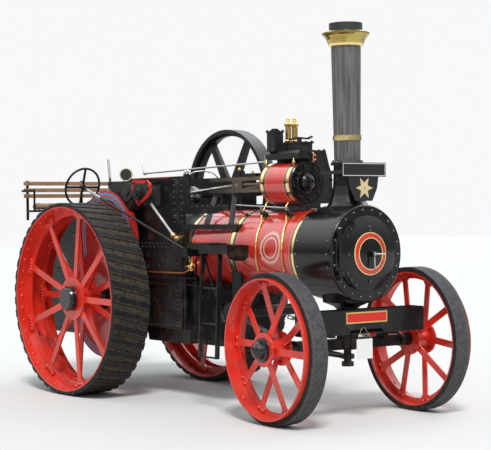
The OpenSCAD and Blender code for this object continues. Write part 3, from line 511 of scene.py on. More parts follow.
def front_tyre_finish():
    """Grey tread with fine scuffs, darker flanks and a brown line near the outer edge."""
    made = Finish("front_rubber")
    x, y, z = made.steered_xyz()
    tread = made.ramp(length2(y, z - FRONT_R / 1000), 0.6625, 0.6645)
    rub = made.noise(26.0, 7.0)
    pits = made.noise(90.0, 4.0)
    grey = made.mix((0.044, 0.045, 0.048, 1), (0.076, 0.077, 0.080, 1), made.ramp(rub, 0.35, 0.7))
    made.base = made.mix((0.014, 0.014, 0.015, 1), (0.040, 0.037, 0.034, 1), made.ramp(rub, 0.45, 0.75))
    made.over(grey, tread)
    made.over((0.13, 0.085, 0.06, 1), made.band(abs(x), 0.853, 0.0045) * tread)
    made.set(Roughness=0.68 + pits * 0.2, Specular_IOR_Level=0.3)
    made.bump(pits + rub * 0.4, 0.0015, 0.5)
    return made


def plate_finish():
    """Number plate with a white border and nothing on it, and a brass star below."""
    made = paint("plate_paint", (0.012, 0.012, 0.013), 0.24, 0.3, 0.03)
    y = made.y - PERCH_Y
    edge = (abs(made.x) - 0.255).most(abs(made.z - 2.223) - 0.056)
    white = made.band(edge, -0.003, 0.0032, 0.0006) * made.fall(y, -0.2515, -0.2505)
    star = made.fall(made.z, 2.1585, 2.1595) * made.fall(y, -0.2465, -0.2455)
    hole = made.band(length2(made.x, made.z - 2.060), 0.0, 0.006)
    made.over((0.62, 0.62, 0.60, 1), white).over((0.80, 0.62, 0.36, 1), star * (1 - hole))
    return made.set(Metallic=star * 0.35)


def tray_finish():
    """Front toolbox with a blank red name plate in a brass border."""
    made = paint("tray_paint", settings().black, 0.25, 0.15, 0.25, 0.25)
    x, y, z = made.steered_xyz()
    face = made.fall(y, -0.2845, -0.2835)
    across, up = abs(x), abs(z - 0.917)
    plate, inner = [made.fall(across, wide, wide + 0.001) * made.fall(up, high, high + 0.001) * face
                    for wide, high in ((0.2285, 0.0495), (0.2165, 0.0375))]
    made.over(made.mix(GOLD, rgb(settings().boiler_red), inner), plate)
    return made.set(Metallic=plate * (1 - inner))


def wood_finish():
    made = Finish("slat_wood")
    grain = made.noise(26.0, 6.0, (0.35, 6, 6))
    fine = made.noise(90.0, 4.0, (0.25, 5, 5))
    patch = made.noise(3.0, 4.0)
    tone = made.node("ShaderNodeValToRGB", {"stops": [
        (0.2, (0.13, 0.062, 0.034, 1)), (0.5, (0.34, 0.185, 0.105, 1)), (0.8, (0.52, 0.33, 0.21, 1))]},
        {0: grain * 0.7 + patch * 0.35})
    made.set(Base_Color=tone, Roughness=0.55 + fine * 0.25)
    made.bump(grain + fine * 0.6, 0.002, 0.6)
    return made


def leather_finish():
    made = Finish("cushion_leather")
    creases = made.noise(16.0, 5.0, (0.4, 2.5, 2.5))
    fine = made.node("ShaderNodeTexVoronoi", None, {"Vector": made.place, "Scale": 160.0})
    colour = made.mix((0.17, 0.095, 0.045, 1), (0.36, 0.23, 0.125, 1), made.ramp(creases, 0.32, 0.66))
    made.set(Base_Color=colour, Roughness=0.42 + creases * 0.2, Coat_Weight=0.1)
    made.bump(creases * 0.8 + fine * 0.25, 0.0025, 0.6)
    return made


def white_card():
    made = Finish("white_card")
    colour = made.mix((0.86, 0.86, 0.84, 1), (0.74, 0.74, 0.71, 1), made.noise(40.0, 3.0))
    made.set(Base_Color=colour, Roughness=0.7)
    made.bump(made.noise(200.0, 2.0), 0.0003, 0.3)
    return made


# Each finish by name, and the record's slot where that has another name
FINISH = {}


def dress(node, finish):
    """Gives a CAD node its finish."""
    slots = NODES[node].material_slots
    if not slots:
        NODES[node].data.materials.append(finish.material)
    for slot in slots:
        slot.material = finish.material


# Making pieces


def linked(thing):
    bpy.context.scene.collection.objects.link(thing)
    return thing


def keep(mesh, name, kind, body, smooth=False):
    """Puts a finished mesh in the scene, in its finish and on its body."""
    mesh.name = name
    piece = linked(bpy.data.objects.new(name, mesh))
    if not mesh.materials:
        mesh.materials.append(FINISH[kind].material)
    if smooth:
        mesh.shade_smooth()
    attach(piece, body)
    return piece


def keep_shape(shape, name, kind, body, smooth=False):
    mesh = bpy.data.meshes.new(name)
    shape.to_mesh(mesh)
    shape.free()
    return keep(mesh, name, kind, body, smooth)


def evaluated_mesh(maker):
    graph = bpy.context.evaluated_depsgraph_get()
    mesh = bpy.data.meshes.new_from_object(maker.evaluated_get(graph), depsgraph=graph)
    bpy.data.objects.remove(maker)
    return mesh


def head_tree(name, sides):
    """Heads on points: domed rivets where sides is 0, nuts with that many sides otherwise."""
    tree = bpy.data.node_groups.new(name, "GeometryNodeTree")
    for label, kind in (("Geometry", "Geometry"), ("Radius", "Float"), ("Height", "Float"),
                        ("Finish", "Material")):
        tree.interface.new_socket(label, in_out="INPUT", socket_type="NodeSocket" + kind)
    tree.interface.new_socket("Geometry", in_out="OUTPUT", socket_type="NodeSocketGeometry")
    made = Nodes(tree)
    given = made.node("NodeGroupInput")
    if sides:
        shape = made.node("GeometryNodeMeshCylinder", None, {"Vertices": sides, "Depth": 2.0})
    else:
        ball = made.node("GeometryNodeMeshUVSphere", None, {"Segments": 10, "Rings": 6})
        height = made.xyz(made.node("GeometryNodeInputPosition"))[2]
        low = made.node("FunctionNodeCompare", {"data_type": "FLOAT", "operation": "LESS_THAN"},
                        {0: height, 1: -0.1})
        shape = made.node("GeometryNodeDeleteGeometry", None, {0: ball, "Selection": low})
    size = made.node("ShaderNodeCombineXYZ", None,
                     {0: given.out("Radius"), 1: given.out("Radius"), 2: given.out("Height")})
    facing = made.node("GeometryNodeInputNamedAttribute", {"data_type": "FLOAT_VECTOR"}, {"Name": "facing"})
    turn = made.node("FunctionNodeAlignRotationToVector", {"axis": "Z"}, {"Vector": facing})
    put = made.node("GeometryNodeInstanceOnPoints", None,
                    {"Points": given, "Instance": shape, "Rotation": turn, "Scale": size})
    real = made.node("GeometryNodeRealizeInstances", None, {0: put})
    cover = made.node("GeometryNodeSetMaterial", None, {0: real, "Material": given.out("Finish")})
    made.feed(tree.nodes.new("NodeGroupOutput").inputs[0], cover)
    return tree


def heads(name, spots, radius, height, kind, sides=0, body="engine"):
    """Rivets, or nuts with that many sides, at spots: each a place and the way it faces."""
    mesh = bpy.data.meshes.new(name)
    mesh.from_pydata([tuple(place(spot)) for spot, _ in spots], [], [])
    facing = mesh.attributes.new("facing", "FLOAT_VECTOR", "POINT")
    facing.data.foreach_set("vector", [c for _, way in spots for c in way])
    maker = linked(bpy.data.objects.new(name + "_maker", mesh))
    label = "nut_heads_%d" % sides if sides else "rivet_heads"
    tree = bpy.data.node_groups.get(label) or head_tree(label, sides)
    modifier = maker.modifiers.new("heads", "NODES")
    modifier.node_group = tree
    values = {"Radius": radius, "Height": height, "Finish": FINISH[kind].material}
    for item in tree.interface.items_tree:
        if item.in_out == "INPUT" and item.name in values:
            modifier[item.identifier] = values[item.name]
    return keep(evaluated_mesh(maker), name, kind, body, smooth=not sides)


def row(first, last, pitch, way):
    """Spots from first to last, about pitch apart, all facing one way."""
    first, last = place(first), place(last)
    count = max(1, round((last - first).length / pitch))
    return [(first.lerp(last, i / count), Vector(way)) for i in range(count + 1)]


def circle(middle, axis, radius, count, phase=0.0, outward=False):
    """Spots round an axis, facing along it or outwards."""
    side = axis.orthogonal().normalized()
    if abs(axis.x) > 0.9 or abs(axis.y) > 0.9:
        side = (UP - axis * axis.z).normalized()
    spots = []
    for i in range(count):
        arm = Matrix.Rotation(phase + i * math.tau / count, 3, axis) @ side
        spots.append((place(middle) + arm * radius, arm if outward else axis))
    return spots


def tube(name, paths, radius, kind, corner=0.0, body="engine"):
    """Rods or pipes through lists of points, their corners rounded where corner is given."""
    curve = bpy.data.curves.new(name + "_path", "CURVE")
    curve.dimensions = "3D"
    for points in paths:
        points = [place(point) for point in points]
        if corner:
            bent = [points[0]]
            for before, here, after in zip(points, points[1:], points[2:]):
                a = here + (before - here).normalized() * corner
                b = here + (after - here).normalized() * corner
                bent += [a.lerp(here, t).lerp(here.lerp(b, t), t) for t in (0, 0.25, 0.5, 0.75, 1)]
            points = bent + [points[-1]]
        spline = curve.splines.new("POLY")
        spline.points.add(len(points) - 1)
        for spot, point in zip(spline.points, points):
            spot.co = (*point, 1)
    curve.bevel_depth = radius
    curve.bevel_resolution = 3
    curve.use_fill_caps = True
    maker = linked(bpy.data.objects.new(name + "_maker", curve))
    return keep(evaluated_mesh(maker), name, kind, body, smooth=True)


def turned(name, profile, places, kind, steps=32, body="engine"):
    """An outline of (radius, along) in millimetres, turned round the axis at each place."""
    shape = bmesh.new()
    for middle, axis in places:
        axis = axis.normalized()
        side = axis.orthogonal().normalized()
        across = axis.cross(side)
        rings = []
        for i in range(steps):
            turn = math.tau * i / steps
            arm = side * math.cos(turn) + across * math.sin(turn)
            rings.append([shape.verts.new(place(middle) + (arm * r + axis * a) / 1000) for r, a in profile])
        for now, then in zip(rings, rings[1:] + rings[:1]):
            for j in range(len(profile) - 1):
                shape.faces.new((now[j], then[j], then[j + 1], now[j + 1]))
    bmesh.ops.remove_doubles(shape, verts=shape.verts, dist=1e-6)
    bmesh.ops.recalc_face_normals(shape, faces=shape.faces)
    piece = keep_shape(shape, name, kind, body, smooth=True)
    piece.data.set_sharp_from_angle(angle=math.radians(35))
    return piece


def scaled(profile, across, along):
    return [(r * across, a * along) for r, a in profile]


BOX_FACES = ((0, 1, 2, 3), (4, 5, 6, 7), (0, 1, 5, 4), (1, 2, 6, 5), (2, 3, 7, 6), (3, 0, 4, 7))


def block(name, boxes, kind, bevel=0.002, body="engine", move=at):
    """Bevelled plates or bars, each between two opposite corners in millimetres."""
    shape = bmesh.new()
    for (x0, y0, z0), (x1, y1, z1) in boxes:
        verts = [shape.verts.new(move(x, y, z)) for z in (z0, z1)
                 for x, y in ((x0, y0), (x1, y0), (x1, y1), (x0, y1))]
        for face in BOX_FACES:
            shape.faces.new([verts[i] for i in face])
    bmesh.ops.recalc_face_normals(shape, faces=shape.faces)
    bmesh.ops.bevel(shape, geom=shape.edges[:], offset=bevel, segments=2, affect="EDGES")
    return keep_shape(shape, name, kind, body)


# The dished door's radius, and the y of its nose
DOOR_SPHERE = 1214.04
DOOR_NOSE = -326.0


def on_door(x, z):
    """A spot on the dished door, x and z from its middle, and the way it faces."""
    depth = (DOOR_SPHERE ** 2 - x * x - z * z) ** 0.5
    return at(x, DOOR_NOSE + DOOR_SPHERE - depth, BOILER_Z + z), Vector((x, -depth, z)).normalized()


def out_of_boiler(turn):
    """The way out of the boiler, turn in degrees from its top towards the right."""
    turn = math.radians(turn)
    return Vector((-math.sin(turn), 0, math.cos(turn)))


def round_boiler(turn, y, radius):
    return at(0, y, BOILER_Z) + out_of_boiler(turn) * radius / 1000


def round_hub(radius, turn, along):
    """Along y and z from an axle: radius, degrees round, and along the rim."""
    turn = math.radians(turn)
    return (-radius * math.sin(turn) - along * math.cos(turn),
            radius * math.cos(turn) - along * math.sin(turn))


def rear_spot(side, x, radius, turn, along=0.0):
    """A place on a rear wheel."""
    y, z = round_hub(radius, turn, along)
    return at(side * x, WHEELBASE + y, REAR_R + z)


def front_spot(side, x, radius, turn, along=0.0):
    y, z = round_hub(radius, turn, along)
    return steered(side * x, y, FRONT_R + z)


def wheel_heads(spot_at, side, out, count, table, feet=((0, 0),)):
    """Heads round a wheel, from a table of x, radius, first turn, and 1 out or -1 in."""
    return [(spot_at(side, x, radius + rise, first + i * 360 / count, along), out * way)
            for i in range(count) for along, rise in feet for x, radius, first, way in table]


def rim_rivet(spot_at, side, x, radius, turn):
    """A rivet inside a rim, facing the axle."""
    spot = spot_at(side, x, radius, turn)
    return spot, (spot_at(side, x, 0, 0) - spot).normalized()


class PaintEngine(bpy.types.Operator):
    """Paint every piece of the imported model"""

    bl_idname = "engine.paint"
    bl_label = "Paint the engine"

    def execute(self, context):
        FINISH.update(finishes())
        FINISH.update(slat_wood=wood_finish(), cushion=leather_finish(), rear_rubber=rear_tyre_finish(),
                      front_rubber=front_tyre_finish(), white_card=white_card())
        for part in FRAME["record"]["subparts"]:
            dress(part["node"], FINISH[part["material_slot"]])
        special = {
            "boiler_barrel": barrel_finish(),
            "cylinder_jacket": jacket_finish(),
            "chimney": chimney_finish(),
            "chimney_cap": cap_finish(),
            "door_ring": ring_finish(),
            "gear_guard": guard_finish(),
            "hornplate_right": hornplate_finish(),
            "crankshaft": crank_finish(),
            "steering_shaft": shaft_finish(),
            "feed_pump": pump_finish(),
            "control_rods": rods_finish(),
            "number_plate": plate_finish(),
            "front_toolbox": tray_finish(),
            "cylinder_cover": FINISH["smokebox_black"],
            "crosshead": FINISH["brown_steel"],
        }
        for end in ("front", "rear"):
            for _, word in SIDES:
                special["%s_cap_%s" % (end, word)] = FINISH["cap_black"]
        for node, finish in special.items():
            dress(node, finish)
        return {"FINISHED"}


# Rows of plate rivets on each side: x, then y and z at both ends, and the pitch
SIDE_ROWS = (
    # hornplate: in front of the crank, over the firebox, its front edge, its foot, its rear, its horn
    (422, 2080, 1765, 2080, 2190, 65), (422, 1950, 1765, 1950, 2190, 65),
    (422, 1985, 1550, 2950, 1550, 69), (422, 2019, 1514, 2950, 1514, 69),
    (422, 2048, 760, 2048, 1480, 45), (422, 2050, 725, 3210, 725, 58),
    (422, 3360, 840, 3360, 1600, 60), (422, 1250, 1915, 1780, 1915, 88),
    # tender side
    (440, 3430, 590, 4470, 590, 58), (440, 3430, 650, 3430, 1720, 58), (440, 4470, 650, 4470, 1720, 58),
    (440, 3990, 1270, 3990, 1840, 58), (440, 3500, 1270, 4410, 1270, 58),
    # belly tank
    (375, 1400, 600, 1850, 600, 60), (375, 1400, 660, 1400, 1150, 60),
)
# Rows on the tender's back: x and z at both ends
BACK_ROWS = (
    (-410, 590, 410, 590), (-410, 1270, 410, 1270), (-410, 1860, 410, 1860),
    (-410, 650, -410, 1210), (-410, 1330, -410, 1800), (410, 650, 410, 1210), (410, 1330, 410, 1800),
)


class RivetPlates(bpy.types.Operator):
    """Rivet the boiler, the hornplates, the tanks and the tender"""

    bl_idname = "engine.rivets"
    bl_label = "Plate rivets"

    def execute(self, context):
        s = settings()
        plates, stays, tray = [], [], []
        for side, _ in SIDES:
            way = (side, 0, 0)
            for x, y0, z0, y1, z1, pitch in SIDE_ROWS:
                plates += row((side * x, y0, z0), (side * x, y1, z1), pitch / 1000, way)
            for z in range(800, 1480, 105):
                stays += row((side * 422, 2150, z), (side * 422, 2660, z), 0.105, way)
            plates += row((side * 345, 1370, 600), (side * 345, 1370, 1120), 0.06, AHEAD)
            tray += row(steered(side * 655, -262, 812), steered(side * 655, -262, 950), 0.046,
                        steered_way(side, 0, 0))
        for x0, z0, x1, z1 in BACK_ROWS:
            plates += row((x0, 4500, z0), (x1, 4500, z1), 0.058, BACK)
        for x in (-620, -300, 300, 620):
            tray += row(steered(x, -285, 812), steered(x, -285, 950), 0.046, steered_way(0, -1, 0))
        heads("plate_rivets", plates, s.rivet_radius, s.rivet_height, "black_paint")
        heads("firebox_stays", stays, 0.010, 0.005, "black_paint")
        strips = [((side * 421, 1944, 706), (side * 430, 1962, 1496)) for side, _ in SIDES]
        block("firebox_strips", strips, "black_paint")
        heads("tray_rivets", tray, 0.007, 0.004, "black_paint", body="front_axle")
        return {"FINISHED"}


class RivetSmokebox(bpy.types.Operator):
    """Rivet the smokebox, its door and the chimney's joints"""

    bl_idname = "engine.smokebox"
    bl_label = "Smokebox fastenings"

    def execute(self, context):
        count = settings().smokebox_rivets
        ring = []
        for y in (-206, 206):
            ring += circle((0, y, BOILER_Z), BACK, 0.425, count, 0.14, outward=True)
        # none under the saddle, and none under the chimney's base
        ring = [(spot, way) for spot, way in ring
                if way.z > -0.75 and (way.z < 0.9 or spot.y > PERCH_Y + 0.15)]
        ring += circle((0, -264, BOILER_Z), AHEAD, 0.388, count, 0.1)
        heads("smokebox_rivets", ring, 0.0135, 0.010, "rivet_black")
        door = [on_door(*spot) for spot in ((0, 238), (0, 203), (222, 0), (0, -243), (-246, 0))]
        for x, z in ((-168, 272), (-223, 221), (-264, 165)):
            door += [((x, -301.5, BOILER_Z + z * way), AHEAD) for way in (1, -1)]
        heads("door_bolts", door, 0.014, 0.011, "rivet_black", 6, "smokebox_door")
        joints = circle((0, -30, 1903), UP, 0.177, 12, 0.26) + circle((0, -30, 2304), UP, 0.130, 8, 0.2)
        heads("chimney_bolts", joints, 0.010, 0.009, "rivet_black", 6)
        ends = [((-346, -300, BOILER_Z + z), Vector((0, 0, z))) for z in (-230, 230)]
        heads("hinge_ends", ends, 0.016, 0.008, "bright_steel")
        knob = [(0, -12), (15, -10), (17, -2), (12, 5), (0, 7)]
        turned("door_knob", knob, [((0, -372, BOILER_Z), BACK)], "bright_steel", body="smokebox_door")
        grips = []
        for turn in (94, 178):
            arm = Matrix.Rotation(math.radians(turn), 3, "Y") @ UP
            grips.append([at(0, -366, BOILER_Z) + arm * 0.024, at(0, -367, BOILER_Z) + arm * 0.133])
        tube("door_grips", grips, 0.0085, "bright_steel", body="smokebox_door")
        return {"FINISHED"}


# Heads on the spokes and hubs: x, radius, degrees to the first, and 1 out or -1 in
REAR_RIVETS = ((990.5, 884, 11, 1), (959, 884, 11, -1), (825, 884, 31, 1), (793.5, 884, 31, -1))
REAR_NUTS = ((963, 190, 31, -1), (821, 190, 11, 1), (803, 190, 11, -1))
FRONT_RIVETS = ((799, 584, 21, 1), (774, 584, 21, -1), (810, 584, 57, 1), (783, 584, 57, -1))
FRONT_NUTS = ((902, 127, 3, -1), (732, 130, 3, 1), (712, 130, 3, -1))
# Rivets at a spoke's foot: along the rim, and how much further out
REAR_FEET = ((-70, 19), (-36, 6), (0, 0), (36, 6), (70, 19))
FRONT_FEET = ((-31, 0), (31, 0))


class BoltWheels(bpy.types.Operator):
    """Rivet the spokes of the four wheels to their rims and hubs"""

    bl_idname = "engine.wheels"
    bl_label = "Wheel rivets and nuts"

    def execute(self, context):
        for side, word in SIDES:
            out = Vector((side, 0, 0))
            rivets = wheel_heads(rear_spot, side, out, REAR_SPOKES, REAR_RIVETS, REAR_FEET)
            rivets += [rim_rivet(rear_spot, side, x, 936, i * 360 / REAR_BARS)
                       for i in range(REAR_BARS) for x in (1046, 752)]
            nuts = wheel_heads(rear_spot, side, out, REAR_SPOKES, REAR_NUTS)
            heads("rear_rivets_" + word, rivets, 0.017, 0.013, "wheel_red", body="rear_wheel_" + word)
            heads("rear_nuts_" + word, nuts, 0.017, 0.014, "wheel_red", 6, "rear_wheel_" + word)
            out = steered_way(side, 0, 0)
            rivets = wheel_heads(front_spot, side, out, FRONT_SPOKES, FRONT_RIVETS, FRONT_FEET)
            rivets += [rim_rivet(front_spot, side, 862, 606, 77 + i * 360 / FRONT_SPOKES)
                       for i in range(FRONT_SPOKES)]
            nuts = wheel_heads(front_spot, side, out, 2 * FRONT_SPOKES, FRONT_NUTS)
            heads("front_rivets_" + word, rivets, 0.019, 0.013, "wheel_red", body="front_wheel_" + word)
            heads("front_nuts_" + word, nuts, 0.014, 0.012, "wheel_red", 6, "front_wheel_" + word)
        return {"FINISHED"}


OIL_CUP = [(0, -6), (9, -6), (9, 14), (20, 20), (22, 44), (19, 50), (9, 54), (7, 60), (11, 66), (7, 74),
           (0, 75)]
COVER_NUTS = [(-150, 2396), (-65, 2400), (25, 2400), (112, 2392), (160, 2262), (194, 2150), (194, 2050),
              (186, 1972)]


class FitCylinder(bpy.types.Operator):
    """Bolt the cylinder's covers and castings and add its oil cups and drain cocks"""

    bl_idname = "engine.cylinder"
    bl_label = "Cylinder fittings"

    def execute(self, context):
        heads("cover_nuts", circle((-100, 412, 2125), AHEAD, 0.157, 8, 0.2), 0.017, 0.017, "black_iron", 6)
        nuts = [((x, 410, z), AHEAD) for x, z in COVER_NUTS]
        nuts += [((x, y, 2504.5), UP) for x in (-127, 17) for y in (474, 560, 636)]
        nuts += [((x, y, 2615), UP) for x in (-211, -114) for y in (738, 792, 847)]
        nuts += [((x, y, 2424), UP) for x in (-160, 122) for y in range(425, 880, 74)
                 if x > 0 or not 720 < y < 870]
        nuts += [((209, y, z), Vector((1, 0, 0.03))) for z in (2165, 2010) for y in range(440, 870, 84)]
        nuts += [((-296, y, 2125), RIGHT) for y in (500, 812)]
        heads("cylinder_nuts", nuts, 0.011, 0.011, "black_iron", 6)
        heads("gland_nuts", [((x, 943, 2125), BACK) for x in (-129, -71)], 0.008, 0.009, "bright_steel", 6)
        side_cups = [((-221, y, 2283), UP) for y in (455, 856)]
        turned("oil_cups", scaled(OIL_CUP, 0.75, 0.85), side_cups, "brass", 20)
        bar_cups = [(-100, 1215, 2231), (-100, 1424, 2259), (-355, 1130, 1744)]
        turned("bar_cups", scaled(OIL_CUP, 0.7, 0.5), [(spot, UP) for spot in bar_cups], "brass", 16)
        boxes = [((-134, 1372, 2199), (-66, 1476, 2261)), ((-132, 1120, 2199), (-68, 1310, 2233)),
                 ((-434, 1826, 2224), (-398, 1908, 2246))]
        block("oil_boxes", boxes, "black_iron", 0.005)
        steel_cups = [((-416, y, 2243), UP) for y in (1844, 1890)]
        turned("steel_cups", scaled(OIL_CUP, 0.7, 0.6), steel_cups, "bright_steel", 16)
        tube("oil_pipe", [[(-410, 1830, 2236), (-380, 1790, 2262), (-300, 1750, 2272), (-190, 1735, 2252),
                           (-118, 1735, 2198)]], 0.0065, "bright_steel", 0.018)
        # indicator cock on the front of the block
        tube("indicator_cock", [[(-34, 414, 2310), (-34, 398, 2318), (-34, 396, 2392), (-34, 414, 2400)],
                                [(-34, 396, 2335), (-8, 392, 2335)], [(-34, 396, 2375), (-8, 392, 2375)]],
             0.0085, "copper", 0.006)
        # drain cocks, their pipes down the boiler and their rod
        pipes, feet, ends = [], [], []
        for top, middle, low in ((870, 835, 795), (560, 470, 415)):
            path = [at(-190, top, 1965), at(-232, top, 1905), round_boiler(40, middle + 30, 434)]
            for i in range(8):
                t = i / 7
                path.append(round_boiler(48 + 64 * t, middle + (low - middle) * min(1, t * 2), 413))
            pipes.append(path)
            ends.append((path[-1], path[-1] - path[-2]))
            feet += [(round_boiler(36, middle + y, 404), out_of_boiler(36)) for y in (-18, 38)]
        tube("drain_pipes", pipes, 0.0075, "brass", 0.006)
        turned("drain_unions", [(0, -16), (12, -16), (14, -8), (14, 2), (9, 6), (7, 20), (0, 21)], ends,
               "brass", 16)
        turned("drain_feet", [(0, -6), (24, -6), (24, 10), (13, 12), (13, 18), (0, 18)], feet, "brass", 20)
        turned("drain_cocks", [(0, 0), (15, 0), (20, 12), (20, 32), (12, 42), (8, 58), (13, 62), (0, 66)],
               [(foot + way * 0.016, way) for foot, way in feet], "black_iron", 16)
        tube("drain_rod", [[(-300, 452, 1892), (-300, 1243, 1929)], [(-300, 480, 1893), (-268, 470, 1862)],
                           [(-300, 860, 1911), (-268, 850, 1864)]], 0.0075, "bright_steel")
        lever = [(-358, 1200, 1742), (-318, 1236, 1880), (-298, 1243, 1945)]
        tube("drain_lever", [lever], 0.010, "black_iron")
        return {"FINISHED"}


CHECK_VALVE = [(0, 0), (26, 0), (26, 10), (14, 14), (14, 30), (21, 36), (23, 60), (15, 70), (15, 84), (9, 88),
               (9, 104), (15, 108), (15, 116), (0, 118)]


class FitPipes(bpy.types.Operator):
    """Add the pipes, the check valve and the fastenings along the right side"""

    bl_idname = "engine.pipes"
    bl_label = "Pipes and side fastenings"

    def execute(self, context):
        tube("copper_pipe", [[(-418, 2700, 1262), (-440, 2660, 1262), (-440, 1900, 1266), (-432, 1826, 1300),
                              (-420, 1800, 1318)]], 0.009, "copper", 0.02)
        tube("side_rods", [[(-418, 2720, 1207), (-440, 2680, 1207), (-440, 1700, 1216)],
                           [(-418, 2720, 1142), (-440, 2680, 1142), (-440, 1700, 1152)],
                           [(-395, 1700, 1446), (-440, 1700, 1410), (-440, 1700, 1130)]],
             0.011, "black_paint", 0.015)
        stems = [((-412, 1802, 1290), UP), ((-376, 1802, 1330), RIGHT)]
        turned("check_valve", CHECK_VALVE, stems, "brass", 24)
        # keeps of the crankshaft's bearings, the axle's horns, the guard, the slide bars and the bracket
        nuts = [((466, 2440 + y, 2060 + z), LEFT) for y in (-108, 108) for z in (-100, 70)]
        for side, _ in SIDES:
            nuts += circle((side * 532, WHEELBASE, REAR_R), Vector((side, 0, 0)), 0.112, 8, 0.3)
        nuts += [((-580, 2440 + y, 2060 + z), RIGHT)
                 for y, z in ((118, 112), (-105, 108), (-144, 50), (36, -88), (124, -8))]
        nuts += [((-548, y, z), RIGHT) for y, z in ((2660, 2160), (2660, 2010), (2880, 2080), (3060, 2178))]
        nuts += [((-136, y + off, 2030), RIGHT) for y in (1465, 1775) for off in (-18, 18)]
        nuts.append(((-365, 1250, 1746), UP))
        heads("side_nuts", nuts, 0.012, 0.011, "black_iron", 6)
        # ends of the ladder's rungs, which lean in towards the top
        board = [((-678 + 48 * (z - 492) / 1002, y, z), RIGHT)
                 for y in (1070, 1334) for z in (500, 815, 1147)]
        board += row((-660, 940, 1513), (-660, 1320, 1513), 0.095, RIGHT)
        board += row((-600, 904, 1450), (-440, 904, 1450), 0.08, AHEAD)
        heads("board_rivets", board, 0.008, 0.005, "black_paint")
        tread = [((-640, y, 1551), (-440, y + 8, 1556)) for y in range(935, 1215, 28)]
        block("board_treads", tread, "black_paint", 0.001)
        axle = [(steered(x, 38 * way, FRONT_R), steered_way(0, way, 0))
                for way in (-1, 1) for x in (-70, 70, -560, 560)]
        axle += [(steered(side * 485, 70, 690), UP) for side, _ in SIDES]
        heads("axle_nuts", axle, 0.016, 0.014, "black_paint", 6, "front_axle")
        hitch = [((x, 4524, z), BACK) for x in (-88, 88) for z in (682, 838)]
        heads("hitch_nuts", hitch, 0.016, 0.014, "black_iron", 6)
        turned("hitch_pin", [(0, -34), (24, -34), (24, 176), (38, 178), (38, 188), (0, 190)],
               [((0, 4580, 660), UP)], "bright_steel", 24)
        return {"FINISHED"}


BACKHEAD_Y = 2750


class FitCab(bpy.types.Operator):
    """Add the fire door, the gauges and the coal rail of the footplate"""

    bl_idname = "engine.cab"
    bl_label = "Backhead and gauges"

    def execute(self, context):
        turned("fire_door", [(0, 0), (172, 0), (172, 10), (150, 16), (60, 20), (52, 30), (0, 32)],
               [((0, BACKHEAD_Y, 1220), BACK)], "black_iron", 40)
        tube("fire_latch", [[(150, 2772, 1220), (40, 2790, 1220), (-150, 2772, 1224)],
                            [(178, 2768, 1120), (178, 2768, 1320)]], 0.011, "bright_steel")
        seam = circle((0, BACKHEAD_Y, BOILER_Z), BACK, 0.375, 30, 0.1)
        seam = [(spot, way) for spot, way in seam if spot.z > 1.45]
        for x in (-375, 375):
            seam += row((x, BACKHEAD_Y, 1290), (x, BACKHEAD_Y, 1440), 0.06, BACK)
        heads("backhead_rivets", seam, 0.012, 0.007, "black_iron")
        cock = [(0, 0), (24, 0), (24, 8), (12, 12), (12, 40), (19, 44), (19, 62), (0, 64)]
        for side, word in SIDES:
            name, x = "water_gauge_" + word, side * 190
            turned(name + "_cocks", cock, [((x, BACKHEAD_Y, z), BACK) for z in (1500, 1720)], "brass", 20)
            tube(name, [[(x, 2802, 1490), (x, 2802, 1740)]], 0.008, "bright_steel")
        dial = [((0, 2790, 1830), BACK)]
        rim = [(0, 0), (20, 0), (20, 14), (74, 18), (80, 26), (80, 44), (74, 50), (68, 46)]
        turned("pressure_gauge", rim, dial, "brass", 40)
        turned("gauge_dial", [(0, 40), (69, 40), (69, 46), (0, 46)], dial, "white_card", 40)
        tube("gauge_hand", [[(6, 2838, 1816), (-26, 2838, 1872)]], 0.0022, "black_iron")
        tube("gauge_pipe", [[(0, 2748, 1700), (0, 2780, 1705), (0, 2785, 1790), (0, 2795, 1825)]],
             0.009, "copper", 0.02)
        rail = [[(side * 432, y, z) for y, z in ((3410, 1764), (3600, 1766), (3920, 1890), (4490, 1894))]
                for side, _ in SIDES]
        rail.append([(-432, 4492, 1894), (432, 4492, 1894)])
        tube("tender_beading", rail, 0.011, "black_paint", 0.03)
        turned("tank_filler", [(0, 0), (92, 0), (92, 40), (100, 42), (100, 56), (60, 62), (0, 64)],
               [((-250, 4240, 1250), UP)], "black_iron", 32)
        return {"FINISHED"}


def roll_shape(middle, half, radius, seams, rings=260, steps=36):
    """A stuffed roll along x, pinched at its seams, creased, closed at its ends and flat below."""
    shape = bmesh.new()
    hoops = []
    for i in range(rings + 1):
        t = i / rings
        close = min(1.0, min(t, 1 - t) * 2 * half / 0.030)
        bulge = math.sqrt(max(0.0, 1 - (1 - close) ** 2))
        phase = t * seams
        if 0 < round(phase) < seams:
            bulge -= 0.16 * math.exp(-((phase - round(phase)) * 2 * half / seams / 0.011) ** 2)
        pillow = 0.035 * math.sin(math.pi * (phase - math.floor(phase)))
        hoop = []
        for j in range(steps):
            turn = math.tau * j / steps
            crease = math.sin(5 * turn + 2.1 * math.floor(phase)) * math.sin(31 * t * math.pi + 3 * turn)
            size = radius * (0.955 * bulge + pillow - 0.035 + 0.018 * crease)
            z = max(math.sin(turn) * size, -radius * 0.90)
            hoop.append(shape.verts.new((middle.x - half + 2 * half * t, middle.y + math.cos(turn) * size,
                                         middle.z + z)))
        hoops.append(hoop)
    for now, then in zip(hoops, hoops[1:]):
        for j in range(steps):
            k = (j + 1) % steps
            shape.faces.new((now[j], now[k], then[k], then[j]))
    for hoop in (hoops[0], hoops[-1]):
        shape.faces.new(hoop)
    bmesh.ops.remove_doubles(shape, verts=shape.verts, dist=1e-5)
    bmesh.ops.recalc_face_normals(shape, faces=shape.faces)
    return shape


